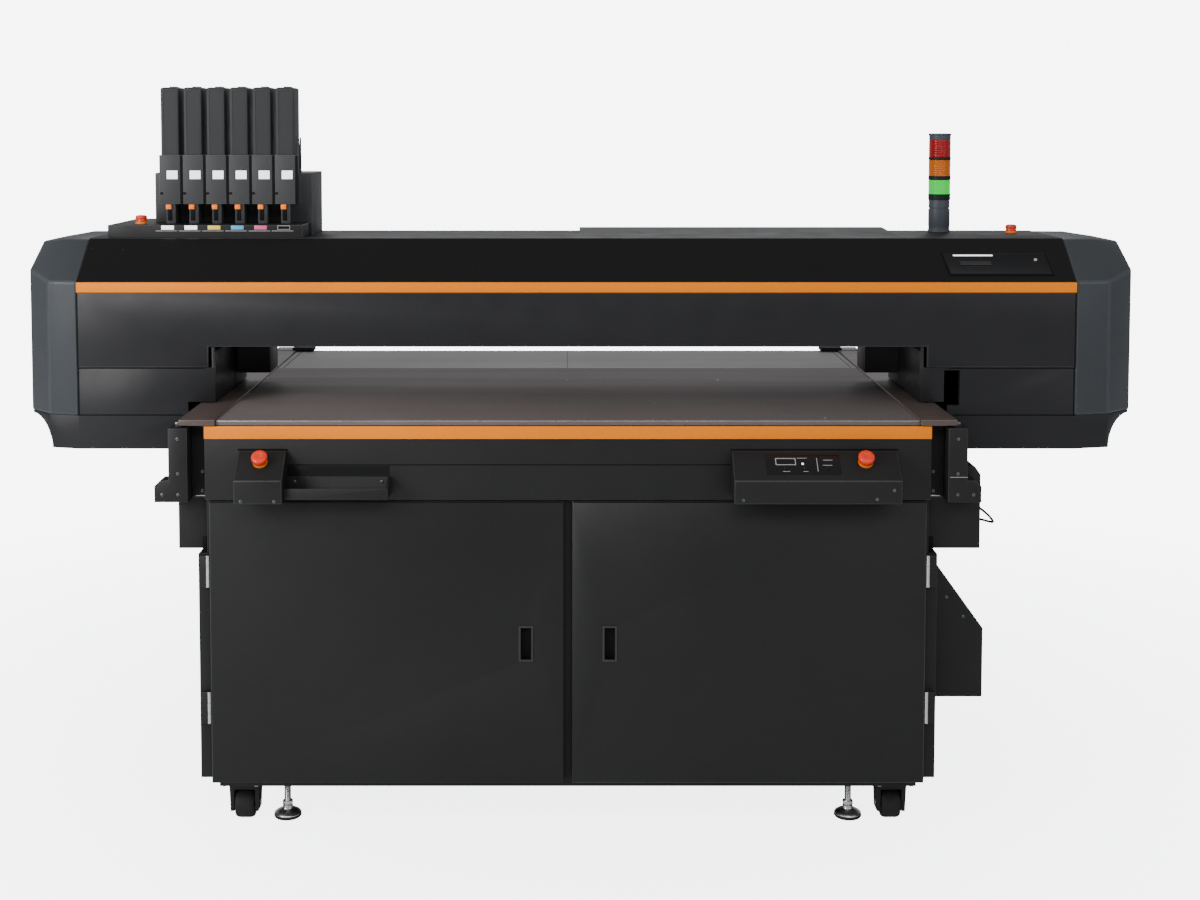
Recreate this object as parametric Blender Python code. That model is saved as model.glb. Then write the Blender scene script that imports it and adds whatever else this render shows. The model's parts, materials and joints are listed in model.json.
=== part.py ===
"""Flatbed UV printer: a fixed table on a two-door cabinet, with a bridge that rides along the table.

Metres, +Z up. The front faces -Y and the floor is Z = 0. Every size below is given from the middle of the
table's front edge; the empty "printer" then moves the whole machine so that its origin is at the middle
of its footprint.
"""
import math

import bmesh
import bpy
from mathutils import Vector

# ---- fits ----
GAP = 0.0003              # between two pieces that touch
RUN = 0.0015              # running clearance of sliding pieces
HAIR = 0.0008             # clearance round a bottle in its sleeve

# ---- table ----
TABLE_HALF = 0.867        # half width of the printing surface
TABLE_TOP = 1.042         # height of the printing surface
PLATE_THICK = 0.012
BED_DEPTH = 0.900         # vacuum bed, front to seam
DECK_DEPTH = 0.400        # plain deck behind the seam
COVER_WIDE = 0.090        # side cover beside the table
COVER_RISE = 0.0035       # side cover above the printing surface
FRAME_DROP = 0.1975       # underside of the table frame below the printing surface
FRAME_WALL = 0.018
BEAM_OUT = 0.0247         # beams that carry the rails, beyond the side covers
BEAM_DROP = 0.022         # top of the beams below the printing surface
BEAM_PAST = 0.120         # beams behind the table
FASCIA_OUT = 0.0285       # front panel beyond the printing surface
FASCIA_THICK = 0.030
STRIP_DROP = 0.0015       # orange strip below the plate
STRIP_TALL = 0.0315
STRIP_THICK = 0.004
RAIL_WIDE = 0.015
RAIL_TALL = 0.0115
RAIL_INSET = 0.0065       # rail behind the outside of its beam
RAIL_STOP = 0.020         # rail short of the rear end of its beam

# ---- parts at the front ends of the rails ----
POST_WIDE = 0.047
POST_RISE = 0.0055        # above the beams
POST_FRONT = 0.018        # in front of the table
POST_DEEP = 0.056
BRACKET_OUT = 0.034       # bracket beyond the beams
BRACKET_DOWN = 0.129      # top of the bracket below the top of the post
BRACKET_DROP = 0.002      # below the table frame
BRACKET_CHAMFER = 0.014

# ---- ducts under the beams ----
DUCT_SHORT = 0.050        # rear end of the ducts in front of the table's rear
DUCT_TALL = 0.130
DUCT_WIDE = 0.074
CHAIN_WIDE = 0.0575       # cable chain cover outside the right duct
CHAIN_WALL = 0.038
CHAIN_UNDER = 0.005       # chain cover below the skirt that passes over it

# ---- cabinet ----
CABINET_SHORT = 0.120     # cabinet's back in front of the table's rear
CABINET_WALL = 0.016
SIDE_OUT = 0.0225         # side panels, proud of the doors
SIDE_DROP = 0.0092        # side panels below the ducts
BASE_IN = 0.0235          # base inside the cabinet walls
BASE_TALL = 0.0225
POST_LAP = 0.003          # middle post behind the free edge of each door
MIDDLE_DEEP = 0.040

# ---- doors ----
DOOR_THICK = 0.020
DOOR_UNDER = 0.002        # top of the doors below the table frame
DOOR_OVER = 0.0062        # doors hang below the side panels
DOOR_SPLIT = 0.011        # half the space between the doors
PULL_WIDE = 0.026
PULL_TALL = 0.080
PULL_DEEP = 0.014
PULL_IN = 0.093           # middle of the pull from the door's free edge
PULL_BELOW = 0.0026       # middle of the pull below the middle of the door
HINGE_R = 0.0045
HINGE_LONG = 0.080
HINGE_DOWN = 0.040        # upper hinge below the top of the side panel
HINGE_UP = 0.184          # lower hinge above the bottom of the side panel

# ---- consoles and shelf on the table front ----
CONSOLE_INSET = 0.0855    # from the end of the front panel
LEFT_CONSOLE_WIDE = 0.117
RIGHT_CONSOLE_WIDE = 0.407
CONSOLE_DEEP = 0.078
CONSOLE_LIP = 0.006
CONSOLE_DOWN = 0.029      # top of the sloping face below the orange strip
CONSOLE_SLOPE = 0.060     # drop of the sloping face
CONSOLE_OVER = 0.0065     # consoles end above the underside of the table frame
SHELF_LONG = 0.252
SHELF_DEEP = 0.060
SHELF_OVER = 0.0065       # shelf ends above the underside of the consoles
SHELF_LIP = 0.0275
SHELF_BACK = 0.046
SHEET = 0.003             # sheet of the shelf and the side pocket

# ---- pocket on the right side ----
POCKET_FRONT = 0.120
POCKET_LONG = 0.420
POCKET_WIDE = 0.140
POCKET_TALL = 0.178
GUSSET_DOWN = 0.042       # top of the gusset below the top of the side panel
GUSSET_TALL = 0.176

# ---- feet and casters ----
FOOT_FRONT = 0.115
FOOT_BACK = 0.120         # rear feet in front of the cabinet's back
PAD_R = 0.035
STEM_R = 0.0075
FOOT_CLEAR = 0.010        # between a foot and a caster that swings round
CASTER_IN = 0.050         # casters inside the end of the base
CASTER_FRONT = 0.085
CASTER_BACK = 0.090
WHEEL_R = 0.0375
WHEEL_WIDE = 0.050
WHEEL_CLEAR = 0.002       # wheel above the floor while the feet carry the machine
WHEEL_HOOD = 0.005        # wheel below the top of its fork
CASTER_TRAIL = 0.022
FORK_NECK = 0.0325
FORK_WALL = 0.009
FORK_FLARE = 0.0035       # top of the fork beyond its sides
FORK_SHOULDER = 0.012
AXLE_R = 0.005

# ---- bridge ----
BRIDGE_FRONT = 0.240      # front face of the bridge as it stands
BRIDGE_DEEP = 0.460
HOUSE_LEFT = 0.2875       # end housings, from the skirt's inner end to the end caps
HOUSE_RIGHT = 0.3324
PRINT_SPACE = 0.1506      # under the bridge, above the printing surface
ENDS_DOWN = 0.0541        # ends of the front cover below its middle
ENDS_LAP = 0.0243         # deeper ends of the front cover, inside the side covers' outer edges
SKIN = 0.022              # depth of the front cover
REAR_SKIN = 0.014         # depth of the rear panels of the end housings
COVER_TALL = 0.1417
ORANGE_TALL = 0.0265
ORANGE_PROUD = 0.0035
SLOPE_DEEP = 0.132
SLOPE_RISE = 0.1056
TOP_THICK = 0.006
LID_LEFT = 0.034
LID_SHORT = 0.153         # right end of the lid from the middle of the signal tower
LID_BACK = 0.012          # lid in front of the bridge's back
LID_DEEP = 0.236
LID_RISE = 0.0105         # at its back edge; it slopes to nothing at the front
LID_SINK = 0.002          # into the top cover
GIRDER_REAR = 0.025       # girder in front of the bridge's back
GIRDER_DEEP = 0.175
GIRDER_OVER = 0.0029      # girder above the bottom of the front cover
GIRDER_UNDER = 0.0365     # girder below the top of the bridge
GIRDER_WALL = 0.008
TRACK_TALL = 0.030        # track for the print carriage, on the girder
TRACK_THICK = 0.012
TRACK_UP = 0.1045

# ---- bridge legs and end housings ----
LEG_IN = 0.0403           # inner face of a leg inside the side cover's outer edge
LEG_SHEET = 0.008
LEG_OVER = 0.003          # leg above the side cover
LEG_PAST = 0.044          # pillar outside the skirt's inner end
LEG_BACK = 0.005          # pillar longer than the girder
POD_WIDE = 0.090          # small boxes beside the legs, under the girder
POD_OVER = 0.0345
POD_LONG = 0.130
SKIRT_CLEAR = 0.004       # between the skirt and the beams
SKIRT_DROP = 0.117        # bottom of the skirt below the printing surface
SKIRT_TALL = 0.0875
SKIRT_ARC = 0.071         # concave corner of the skirt
SLOT_IN = 0.007           # dark slot in the right lower panel, from inside the skirt's inner end
SLOT_WIDE = 0.0406
SLOT_FLOOR = 0.0265       # bottom of the slot above the skirt
SLOT_ROOF = 0.0075
SKIRT_STEP = 0.004        # skirt behind the faces of the end cap

# ---- end caps ----
CAP_LEFT_WIDE = 0.1495
CAP_RIGHT_WIDE = 0.1736
CAP_CREASE = 0.54         # crease of the front facets, as a share of the cap's width from its inner end
CAP_CREASE_BACK = 0.022
CAP_CORNER_BACK = 0.095
CAP_REAR_IN = 0.068
CAP_SHOULDER = 0.0236     # shoulder of the outer wall above the strip
CAP_LEAN = 0.010
CAP_DOWN = 0.001          # cap below the top of the bridge

# ---- print carriage and its head box ----
CARRIAGE_WIDE = 0.280
CARRIAGE_PARK = 0.1984    # middle of the parked carriage from the end of the front cover
CARRIAGE_FRONT = 0.045
CARRIAGE_PLATE = 0.046    # depth of the plate that rides on the track
CARRIAGE_OVER = 0.0049    # carriage above the bottom of the bridge
CARRIAGE_UNDER = 0.101    # top of the carriage below the top of the bridge
HEAD_UNDER = 0.006        # top of the head box below the top of the carriage

# ---- ink station ----
TRAY_IN = 0.0475          # left end of the tray from the end of the bridge
TRAY_FRONT = 0.136        # behind the bridge's front face
TRAY_BACK = 0.0115        # in front of the bridge's back
TRAY_TALL = 0.0345
INK_COUNT = 6
INK_START = 0.156         # middle of the first bottle from the left end of the tray
INK_WIDE = 0.0480
INK_DEEP = 0.098
INK_TALL = 0.292
INK_FRONT = 0.193
INK_UP = 0.0782           # bottles above the tray
SLEEVE_WALL = 0.0040
SLEEVE_SPACE = 0.0043     # between neighbouring sleeves
SLEEVE_TALL = 0.132
SLEEVE_UP = 0.0532        # sleeves above the tray
LATCH_WIDE = 0.0246       # plate under each sleeve
LATCH_BACK = 0.006
HOUSING_LEFT = 0.0282     # housing beyond the first sleeve
HOUSING_RIGHT = 0.0337    # housing beyond the last sleeve
HOUSING_FRONT = 0.2585
HOUSING_TALL = 0.1352
HOUSING_PLATE = 0.007     # side plate that reaches down beside the tray

# ---- signal tower ----
TOWER_IN = 0.2704         # from the end of the front cover
TOWER_BACK = 0.405
TOWER_R = 0.0305
TOWER_CORE = 0.012
TOWER_BASE = 0.0640
TOWER_NECK = 0.0300
TOWER_FLANGE = 0.0045
LENS_TALL = 0.0510
TOWER_CAP = 0.0190

# ---- stop buttons ----
STOP_R = 0.0200
STOP_TALL = 0.0270
STOP_STEM = 0.0130
STOP_TRAVEL = 0.0050
CONSOLE_STOP_LEFT = 0.058  # from the outer end of the left console
CONSOLE_STOP_RIGHT = 0.0825
CONSOLE_STOP_DOWN = 0.036  # down the slope from its top edge
SMALL_STOP = 0.77         # the buttons on the bridge are smaller
BRIDGE_STOP_LEFT = 0.077  # from the left end of the tray
BRIDGE_STOP_LEFT_BACK = 0.190
BRIDGE_STOP_RIGHT = 0.081  # from the end of the bridge
BRIDGE_STOP_RIGHT_BACK = 0.350

# ---- cable loop on the right: place along the cover, drop below its top, and distance out from its wall ----
CABLE_R = 0.0027
CABLE_ROUTE = (
    (0.100, 0.1132, 0.000),
    (0.100, 0.1132, 0.005),
    (0.103, 0.1210, 0.017),
    (0.111, 0.1400, 0.039),
    (0.126, 0.1590, 0.054),
    (0.144, 0.1630, 0.048),
    (0.160, 0.1600, 0.026),
    (0.166, 0.1580, 0.005),
    (0.166, 0.1580, 0.000),
)

# ---- what follows from the sizes above ----
COVER_HALF = TABLE_HALF + GAP + COVER_WIDE
COVER_TOP_Z = TABLE_TOP + COVER_RISE
PLATE_BOTTOM = TABLE_TOP - PLATE_THICK
TABLE_REAR = BED_DEPTH + DECK_DEPTH
FRAME_BOTTOM = TABLE_TOP - FRAME_DROP
BEAM_HALF = COVER_HALF + BEAM_OUT
BEAM_TOP = TABLE_TOP - BEAM_DROP
BEAM_REAR = TABLE_REAR + BEAM_PAST
FASCIA_HALF = TABLE_HALF + FASCIA_OUT
STRIP_TOP = PLATE_BOTTOM - STRIP_DROP
RAIL_TOP = BEAM_TOP + GAP + RAIL_TALL
POST_TOP = BEAM_TOP + POST_RISE
BRACKET_REACH = BEAM_HALF + BRACKET_OUT
BRACKET_TOP = POST_TOP - BRACKET_DOWN
BRACKET_BOTTOM = FRAME_BOTTOM - BRACKET_DROP

BASE_BOTTOM = WHEEL_CLEAR + 2.0 * WHEEL_R + WHEEL_HOOD + FORK_NECK
CABINET_HALF = FASCIA_HALF
CABINET_REAR = TABLE_REAR - CABINET_SHORT
SIDE_HALF = CABINET_HALF + SIDE_OUT
SIDE_BOTTOM = BASE_BOTTOM + BASE_TALL
BASE_HALF = CABINET_HALF - BASE_IN
POST_HALF = DOOR_SPLIT + POST_LAP
DUCT_TOP = FRAME_BOTTOM - GAP
DUCT_BOTTOM = DUCT_TOP - DUCT_TALL
DUCT_REAR = TABLE_REAR - DUCT_SHORT
SIDE_TOP = DUCT_BOTTOM - SIDE_DROP
CHAIN_OUTER = CABINET_HALF + GAP + DUCT_WIDE + CHAIN_WIDE
DOOR_TOP = FRAME_BOTTOM - DOOR_UNDER
DOOR_BOTTOM = SIDE_BOTTOM - DOOR_OVER
PULL_HEIGHT = (DOOR_TOP + DOOR_BOTTOM) / 2.0 - PULL_BELOW
HINGE_HIGH = (SIDE_TOP - HINGE_DOWN, SIDE_BOTTOM + HINGE_UP)
CONSOLE_END = FASCIA_HALF - CONSOLE_INSET
LEFT_CONSOLE = (-CONSOLE_END, -CONSOLE_END + LEFT_CONSOLE_WIDE)
RIGHT_CONSOLE = (CONSOLE_END - RIGHT_CONSOLE_WIDE, CONSOLE_END)
CONSOLE_BACK = STRIP_TOP - STRIP_TALL - CONSOLE_DOWN
CONSOLE_BROW = CONSOLE_BACK - CONSOLE_SLOPE
CONSOLE_BOTTOM = FRAME_BOTTOM + CONSOLE_OVER
SHELF_BOTTOM = CONSOLE_BOTTOM + SHELF_OVER
GUSSET_TOP = SIDE_TOP - GUSSET_DOWN
POCKET_TOP = GUSSET_TOP - GUSSET_TALL
POCKET_BOTTOM = POCKET_TOP - POCKET_TALL
CASTER_X = BASE_HALF - CASTER_IN
CASTER_REAR = CABINET_REAR - CASTER_BACK
FOOT_X = CASTER_X - CASTER_TRAIL - WHEEL_R - PAD_R - FOOT_CLEAR
FOOT_REAR = CABINET_REAR - FOOT_BACK

SKIRT_INNER = BEAM_HALF + SKIRT_CLEAR
SKIRT_BOTTOM = TABLE_TOP - SKIRT_DROP
SKIRT_TOP = SKIRT_BOTTOM + SKIRT_TALL
CHAIN_TOP = SKIRT_BOTTOM - CHAIN_UNDER
BRIDGE_LEFT = SKIRT_INNER + HOUSE_LEFT
BRIDGE_RIGHT = SKIRT_INNER + HOUSE_RIGHT
BRIDGE_BOTTOM = TABLE_TOP + PRINT_SPACE
ENDS_BOTTOM = BRIDGE_BOTTOM - ENDS_DOWN
ENDS_INNER = COVER_HALF - ENDS_LAP
COVER_TOP = BRIDGE_BOTTOM + COVER_TALL
BRIDGE_BACK = BRIDGE_FRONT + BRIDGE_DEEP
ORANGE_BOTTOM = COVER_TOP + GAP
SLOPE_BOTTOM = ORANGE_BOTTOM + ORANGE_TALL + GAP
TOP_HEIGHT = SLOPE_BOTTOM + SLOPE_RISE
GIRDER_FRONT = BRIDGE_DEEP - GIRDER_REAR - GIRDER_DEEP
GIRDER_BOTTOM = BRIDGE_BOTTOM + GIRDER_OVER
GIRDER_TALL = TOP_HEIGHT - GIRDER_UNDER - GIRDER_BOTTOM
GIRDER_Y = BRIDGE_FRONT + GIRDER_FRONT
TRACK_HEIGHT = GIRDER_BOTTOM + TRACK_UP
LEG_INNER = COVER_HALF - LEG_IN
LEG_OUTER = SKIRT_INNER + LEG_PAST
LEG_FLOOR = COVER_TOP_Z + LEG_OVER
LEG_LONG = GIRDER_DEEP + LEG_BACK
POD_INNER = LEG_INNER - POD_WIDE
POD_BOTTOM = COVER_TOP_Z + POD_OVER
CAP_LEFT = BRIDGE_LEFT + CAP_LEFT_WIDE
CAP_RIGHT = BRIDGE_RIGHT + CAP_RIGHT_WIDE
CAP_TOP = TOP_HEIGHT - CAP_DOWN
TRAY_LEFT = BRIDGE_LEFT - TRAY_IN
TRAY_TOP = TOP_HEIGHT + GAP + TRAY_TALL
TRAY_REAR = BRIDGE_DEEP - TRAY_BACK
SLEEVE_HALF = INK_WIDE / 2.0 + HAIR + SLEEVE_WALL
INK_FIRST = INK_START - TRAY_LEFT
INK_PITCH = 2.0 * SLEEVE_HALF + SLEEVE_SPACE
INK_LAST = INK_FIRST + (INK_COUNT - 1) * INK_PITCH
INK_BOTTOM = TRAY_TOP + INK_UP
SLEEVE_BOTTOM = TRAY_TOP + SLEEVE_UP
SLEEVE_TOP = SLEEVE_BOTTOM + SLEEVE_TALL
HOUSING_END = INK_LAST + SLEEVE_HALF + HOUSING_RIGHT
TRAY_RIGHT = HOUSING_END - HOUSING_PLATE - GAP
TOWER_X = BRIDGE_RIGHT - TOWER_IN


def clear_scene():
    for thing in list(bpy.data.objects):
        bpy.data.objects.remove(thing, do_unlink=True)
    for mesh in list(bpy.data.meshes):
        bpy.data.meshes.remove(mesh)


def make_material(name, colour, roughness, metallic=0.0):
    """A Principled material in one plain colour."""
    mat = bpy.data.materials.new(name)
    mat.use_nodes = True
    shader = mat.node_tree.nodes["Principled BSDF"]
    shader.inputs["Base Color"].default_value = (*colour, 1.0)
    shader.inputs["Roughness"].default_value = roughness
    shader.inputs["Metallic"].default_value = metallic
    mat.diffuse_color = (*colour, 1.0)
    return mat


def make_empty(name, at=(0.0, 0.0, 0.0), parent=None):
    empty = bpy.data.objects.new(name, None)
    empty.empty_display_size = 0.1
    bpy.context.scene.collection.objects.link(empty)
    empty["at"] = at
    place(empty, at, parent)
    return empty


def place(thing, at, parent):
    """Put a thing at a point that is given from the table's front edge, under its parent."""
    thing["at"] = at
    if parent is None:
        thing.location = at
        return
    thing.parent = parent
    thing.location = Vector(at) - Vector(parent["at"])


def finish(name, bm, mat, pivot, parent, smooth=False, turn=(0.0, 0.0, 0.0)):
    """Turn a bmesh into the named object. Its points are given about its pivot."""
    bmesh.ops.recalc_face_normals(bm, faces=bm.faces)
    mesh = bpy.data.meshes.new(name)
    bm.to_mesh(mesh)
    bm.free()
    mesh.materials.append(mat)
    if smooth:
        mesh.shade_smooth()
        mesh.set_sharp_from_angle(angle=math.radians(35))
    thing = bpy.data.objects.new(name, mesh)
    bpy.context.scene.collection.objects.link(thing)
    thing.rotation_euler = turn
    place(thing, pivot, parent)
    return thing


def prism_bm(points, axis, low, high, pivot=(0.0, 0.0, 0.0)):
    """A flat outline extruded along an axis. The outline's points are in the other two axes, in order."""
    bm = bmesh.new()
    others = [number for number in range(3) if number != axis]
    ends = []
    for level in (low, high):
        corners = []
        for first, second in points:
            spot = [0.0, 0.0, 0.0]
            spot[axis] = level - pivot[axis]
            spot[others[0]] = first - pivot[others[0]]
            spot[others[1]] = second - pivot[others[1]]
            corners.append(bm.verts.new(spot))
        ends.append(corners)
    bm.faces.new(ends[0])
    bm.faces.new(list(reversed(ends[1])))
    count = len(points)
    for number in range(count):
        after = (number + 1) % count
        bm.faces.new((ends[0][number], ends[0][after], ends[1][after], ends[1][number]))
    return bm


def prism(name, points, axis, low, high, mat, parent, pivot=(0.0, 0.0, 0.0)):
    return finish(name, prism_bm(points, axis, low, high, pivot), mat, pivot, parent)


def box(name, x, y, z, mat, parent, pivot=(0.0, 0.0, 0.0)):
    """A box from its low and high values on each axis."""
    outline = ((x[0], y[0]), (x[1], y[0]), (x[1], y[1]), (x[0], y[1]))
    return prism(name, outline, 2, z[0], z[1], mat, parent, pivot)


def turned_bm(profile, sides, closed=False):
    """A profile of (radius, height) turned about Z. A closed profile makes a ring."""
    bm = bmesh.new()
    rings = []
    for radius, height in profile:
        ring = []
        for number in range(sides):
            angle = 2.0 * math.pi * number / sides
            ring.append(bm.verts.new((radius * math.cos(angle), radius * math.sin(angle), height)))
        rings.append(ring)
    pairs = list(zip(rings[:-1], rings[1:]))
    if closed:
        pairs.append((rings[-1], rings[0]))
    else:
        bm.faces.new(rings[0])
        bm.faces.new(rings[-1])
    for lower, upper in pairs:
        for number in range(sides):
            after = (number + 1) % sides
            bm.faces.new((lower[number], lower[after], upper[after], upper[number]))
    return bm


def turned(name, profile, sides, mat, parent, pivot, closed=False, turn=(0.0, 0.0, 0.0)):
    return finish(name, turned_bm(profile, sides, closed), mat, pivot, parent, True, turn)


def combine(target, tool, operation):
    """Add or cut with a tool object, which stays in the file as a hidden guide."""
    tool.hide_render = True
    tool.display_type = "WIRE"
    step = target.modifiers.new(tool.name, "BOOLEAN")
    step.operation = operation
    step.solver = "EXACT"
    step.object = tool


def mirrored(points, side):
    """Swap an outline to the other side of the table's middle."""
    return [(side * across, up) for across, up in points]


def side_range(side, inner, outer):
    return (side * inner, side * outer) if side > 0 else (side * outer, side * inner)


# ---- materials ----
clear_scene()
BLACK = make_material("black_paint", (0.024, 0.024, 0.025), 0.46)
DARK = make_material("dark_cover", (0.036, 0.036, 0.039), 0.40)
GLOSS = make_material("gloss_fascia", (0.012, 0.011, 0.011), 0.20)
SLATE = make_material("slate_cap", (0.060, 0.075, 0.087), 0.42)
BED = make_material("bed_coat", (0.075, 0.066, 0.063), 0.34, 0.6)
DECK = make_material("deck_plate", (0.150, 0.145, 0.145), 0.36, 0.6)
COAT = make_material("side_cover_coat", (0.052, 0.040, 0.037), 0.34, 0.3)
ORANGE = make_material("orange_strip", (1.000, 0.290, 0.030), 0.45)
STEEL = make_material("bright_steel", (0.620, 0.620, 0.610), 0.28, 1.0)
RUBBER = make_material("black_rubber", (0.018, 0.018, 0.018), 0.70)
RED = make_material("red_button", (0.760, 0.045, 0.020), 0.36)
GREY = make_material("grey_top", (0.105, 0.107, 0.110), 0.42)
INK = make_material("ink_bottle", (0.030, 0.031, 0.034), 0.50)
LENS_RED = make_material("lens_red", (0.640, 0.020, 0.015), 0.22)
LENS_AMBER = make_material("lens_amber", (0.850, 0.250, 0.015), 0.22)
LENS_GREEN = make_material("lens_green", (0.050, 0.800, 0.150), 0.22)
TOWER = make_material("tower_grey", (0.048, 0.055, 0.066), 0.45)
CABLE = make_material("cable_black", (0.015, 0.015, 0.015), 0.60)

# ---- root: the middle of the footprint ----
SHIFT_X = (CAP_LEFT - CAP_RIGHT) / 2.0
SHIFT_Y = (CONSOLE_DEEP - BEAM_REAR) / 2.0
ROOT = make_empty("printer")
ROOT.location = (SHIFT_X, SHIFT_Y, 0.0)

# ---- table ----
frame_outline = [
    (FASCIA_HALF, FRAME_BOTTOM),
    (BEAM_HALF, FRAME_BOTTOM),
    (BEAM_HALF, BEAM_TOP),
    (COVER_HALF, BEAM_TOP),
    (COVER_HALF, PLATE_BOTTOM - GAP),
]
outline = frame_outline + [(-across, up) for across, up in reversed(frame_outline)]
beam_front = POST_DEEP - POST_FRONT + GAP
frame = prism("table_frame", outline, 1, beam_front, BEAM_REAR, BLACK, ROOT)
hollow = box(
    "frame_hollow",
    (-TABLE_HALF + FRAME_WALL, TABLE_HALF - FRAME_WALL),
    (beam_front + FRAME_WALL, TABLE_REAR - FRAME_WALL),
    (FRAME_BOTTOM - 0.05, PLATE_BOTTOM - FRAME_WALL),
    BLACK,
    ROOT,
)
combine(frame, hollow, "DIFFERENCE")
rear_notch = box(
    "frame_rear_notch",
    (-TABLE_HALF + FRAME_WALL, TABLE_HALF - FRAME_WALL),
    (TABLE_REAR, BEAM_REAR + 0.05),
    (FRAME_BOTTOM - 0.05, TABLE_TOP),
    BLACK,
    ROOT,
)
combine(frame, rear_notch, "DIFFERENCE")
rear_step = box(
    "frame_rear_step",
    (-COVER_HALF, COVER_HALF),
    (TABLE_REAR, BEAM_REAR + 0.05),
    (BEAM_TOP, TABLE_TOP),
    BLACK,
    ROOT,
)
combine(frame, rear_step, "DIFFERENCE")
box(
    "table_fascia",
    (-FASCIA_HALF, FASCIA_HALF),
    (0.0, FASCIA_THICK),
    (FRAME_BOTTOM, PLATE_BOTTOM - GAP),
    BLACK,
    ROOT,
)
box(
    "table_strip",
    (-FASCIA_HALF, FASCIA_HALF),
    (-STRIP_THICK - GAP, -GAP),
    (STRIP_TOP - STRIP_TALL, STRIP_TOP),
    ORANGE,
    ROOT,
)
box("bed_plate", (-TABLE_HALF, TABLE_HALF), (0.0, BED_DEPTH), (PLATE_BOTTOM, TABLE_TOP), BED, ROOT)
box(
    "rear_deck",
    (-TABLE_HALF, TABLE_HALF),
    (BED_DEPTH + GAP, TABLE_REAR),
    (PLATE_BOTTOM, TABLE_TOP - 0.001),
    DECK,
    ROOT,
)

# ---- rails, side covers, rail ends and ducts, on both sides ----
for side, word in ((-1, "left"), (1, "right")):
    box(
        "side_cover_" + word,
        side_range(side, TABLE_HALF + GAP, COVER_HALF),
        (-POST_FRONT / 2.0, TABLE_REAR),
        (PLATE_BOTTOM, COVER_TOP_Z),
        COAT,
        ROOT,
    )
    rail_outer = BEAM_HALF - RAIL_INSET
    box(
        "rail_" + word,
        side_range(side, rail_outer - RAIL_WIDE, rail_outer),
        (beam_front, BEAM_REAR - RAIL_STOP),
        (BEAM_TOP + GAP, RAIL_TOP),
        STEEL,
        ROOT,
    )
    post_outer = BEAM_HALF - 0.001
    post_inner = post_outer - POST_WIDE
    post_outline = [
        (post_inner, BRACKET_BOTTOM),
        (BRACKET_REACH, BRACKET_BOTTOM),
        (BRACKET_REACH, BRACKET_TOP - BRACKET_CHAMFER),
        (BRACKET_REACH - BRACKET_CHAMFER, BRACKET_TOP),
        (post_outer, BRACKET_TOP),
        (post_outer, POST_TOP),
        (post_inner, POST_TOP),
    ]
    prism(
        "rail_end_" + word,
        mirrored(post_outline, side),
        1,
        -POST_FRONT,
        POST_DEEP - POST_FRONT,
        BLACK,
        ROOT,
    )
duct_inner = CABINET_HALF + GAP
duct_outer = duct_inner + DUCT_WIDE
duct_front = POST_DEEP - POST_FRONT + GAP
box("duct_left", (-duct_outer, -duct_inner), (duct_front, DUCT_REAR), (DUCT_BOTTOM, DUCT_TOP), BLACK, ROOT)
chain_outline = [
    (duct_inner, DUCT_BOTTOM),
    (CHAIN_OUTER, DUCT_BOTTOM),
    (CHAIN_OUTER, CHAIN_TOP - 0.020),
    (CHAIN_OUTER - 0.014, CHAIN_TOP),
    (CHAIN_OUTER - CHAIN_WALL, CHAIN_TOP),
    (CHAIN_OUTER - CHAIN_WALL, DUCT_TOP),
    (duct_inner, DUCT_TOP),
]
prism("duct_right", chain_outline, 1, duct_front, DUCT_REAR, BLACK, ROOT)

# ---- cabinet ----
door_hinge_x = CABINET_HALF - HINGE_R + 0.0005
door_outer = door_hinge_x - HINGE_R - 0.0005
door_front = -0.0005
hinge_y = door_front + HINGE_R
cabinet_front = door_front + DOOR_THICK + RUN
shell_outline = [
    (BASE_HALF, BASE_BOTTOM),
    (BASE_HALF, SIDE_BOTTOM),
    (SIDE_HALF, SIDE_BOTTOM),
    (SIDE_HALF, SIDE_TOP),
    (CABINET_HALF, SIDE_TOP),
    (CABINET_HALF, FRAME_BOTTOM - GAP),
]
outline = shell_outline + [(-across, up) for across, up in reversed(shell_outline)]
cabinet = prism("cabinet", outline, 1, cabinet_front, CABINET_REAR, BLACK, ROOT)
room_half = CABINET_HALF - CABINET_WALL
room_floor = SIDE_BOTTOM + CABINET_WALL
room_roof = FRAME_BOTTOM - CABINET_WALL
middle_back = cabinet_front + MIDDLE_DEEP
room = box(
    "cabinet_room",
    (-room_half, room_half),
    (middle_back, CABINET_REAR - CABINET_WALL),
    (room_floor, room_roof),
    BLACK,
    ROOT,
)
combine(cabinet, room, "DIFFERENCE")
for side, word in ((-1, "left"), (1, "right")):
    mouth = box(
        "cabinet_mouth_" + word,
        side_range(side, POST_HALF, room_half),
        (cabinet_front - 0.05, middle_back + 0.02),
        (room_floor, room_roof),
        BLACK,
        ROOT,
    )
    combine(cabinet, mouth, "DIFFERENCE")
    for level, height in enumerate(HINGE_HIGH):
        knuckle_bm = turned_bm(((HINGE_R, -HINGE_LONG / 2.0), (HINGE_R, HINGE_LONG / 2.0)), 10)
        at = (side * door_hinge_x, hinge_y, height)
        tag = word + "_" + str(level)
        knuckle = finish("hinge_knuckle_" + tag, knuckle_bm, STEEL, at, ROOT)
        combine(cabinet, knuckle, "UNION")
        leaf = box(
            "hinge_leaf_" + tag,
            side_range(side, door_hinge_x + 0.0005, SIDE_HALF - 0.004),
            (hinge_y - 0.001, cabinet_front + 0.01),
            (height - HINGE_LONG / 2.0 + 0.001, height + HINGE_LONG / 2.0 - 0.001),
            STEEL,
            ROOT,
        )
        combine(cabinet, leaf, "UNION")

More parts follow.
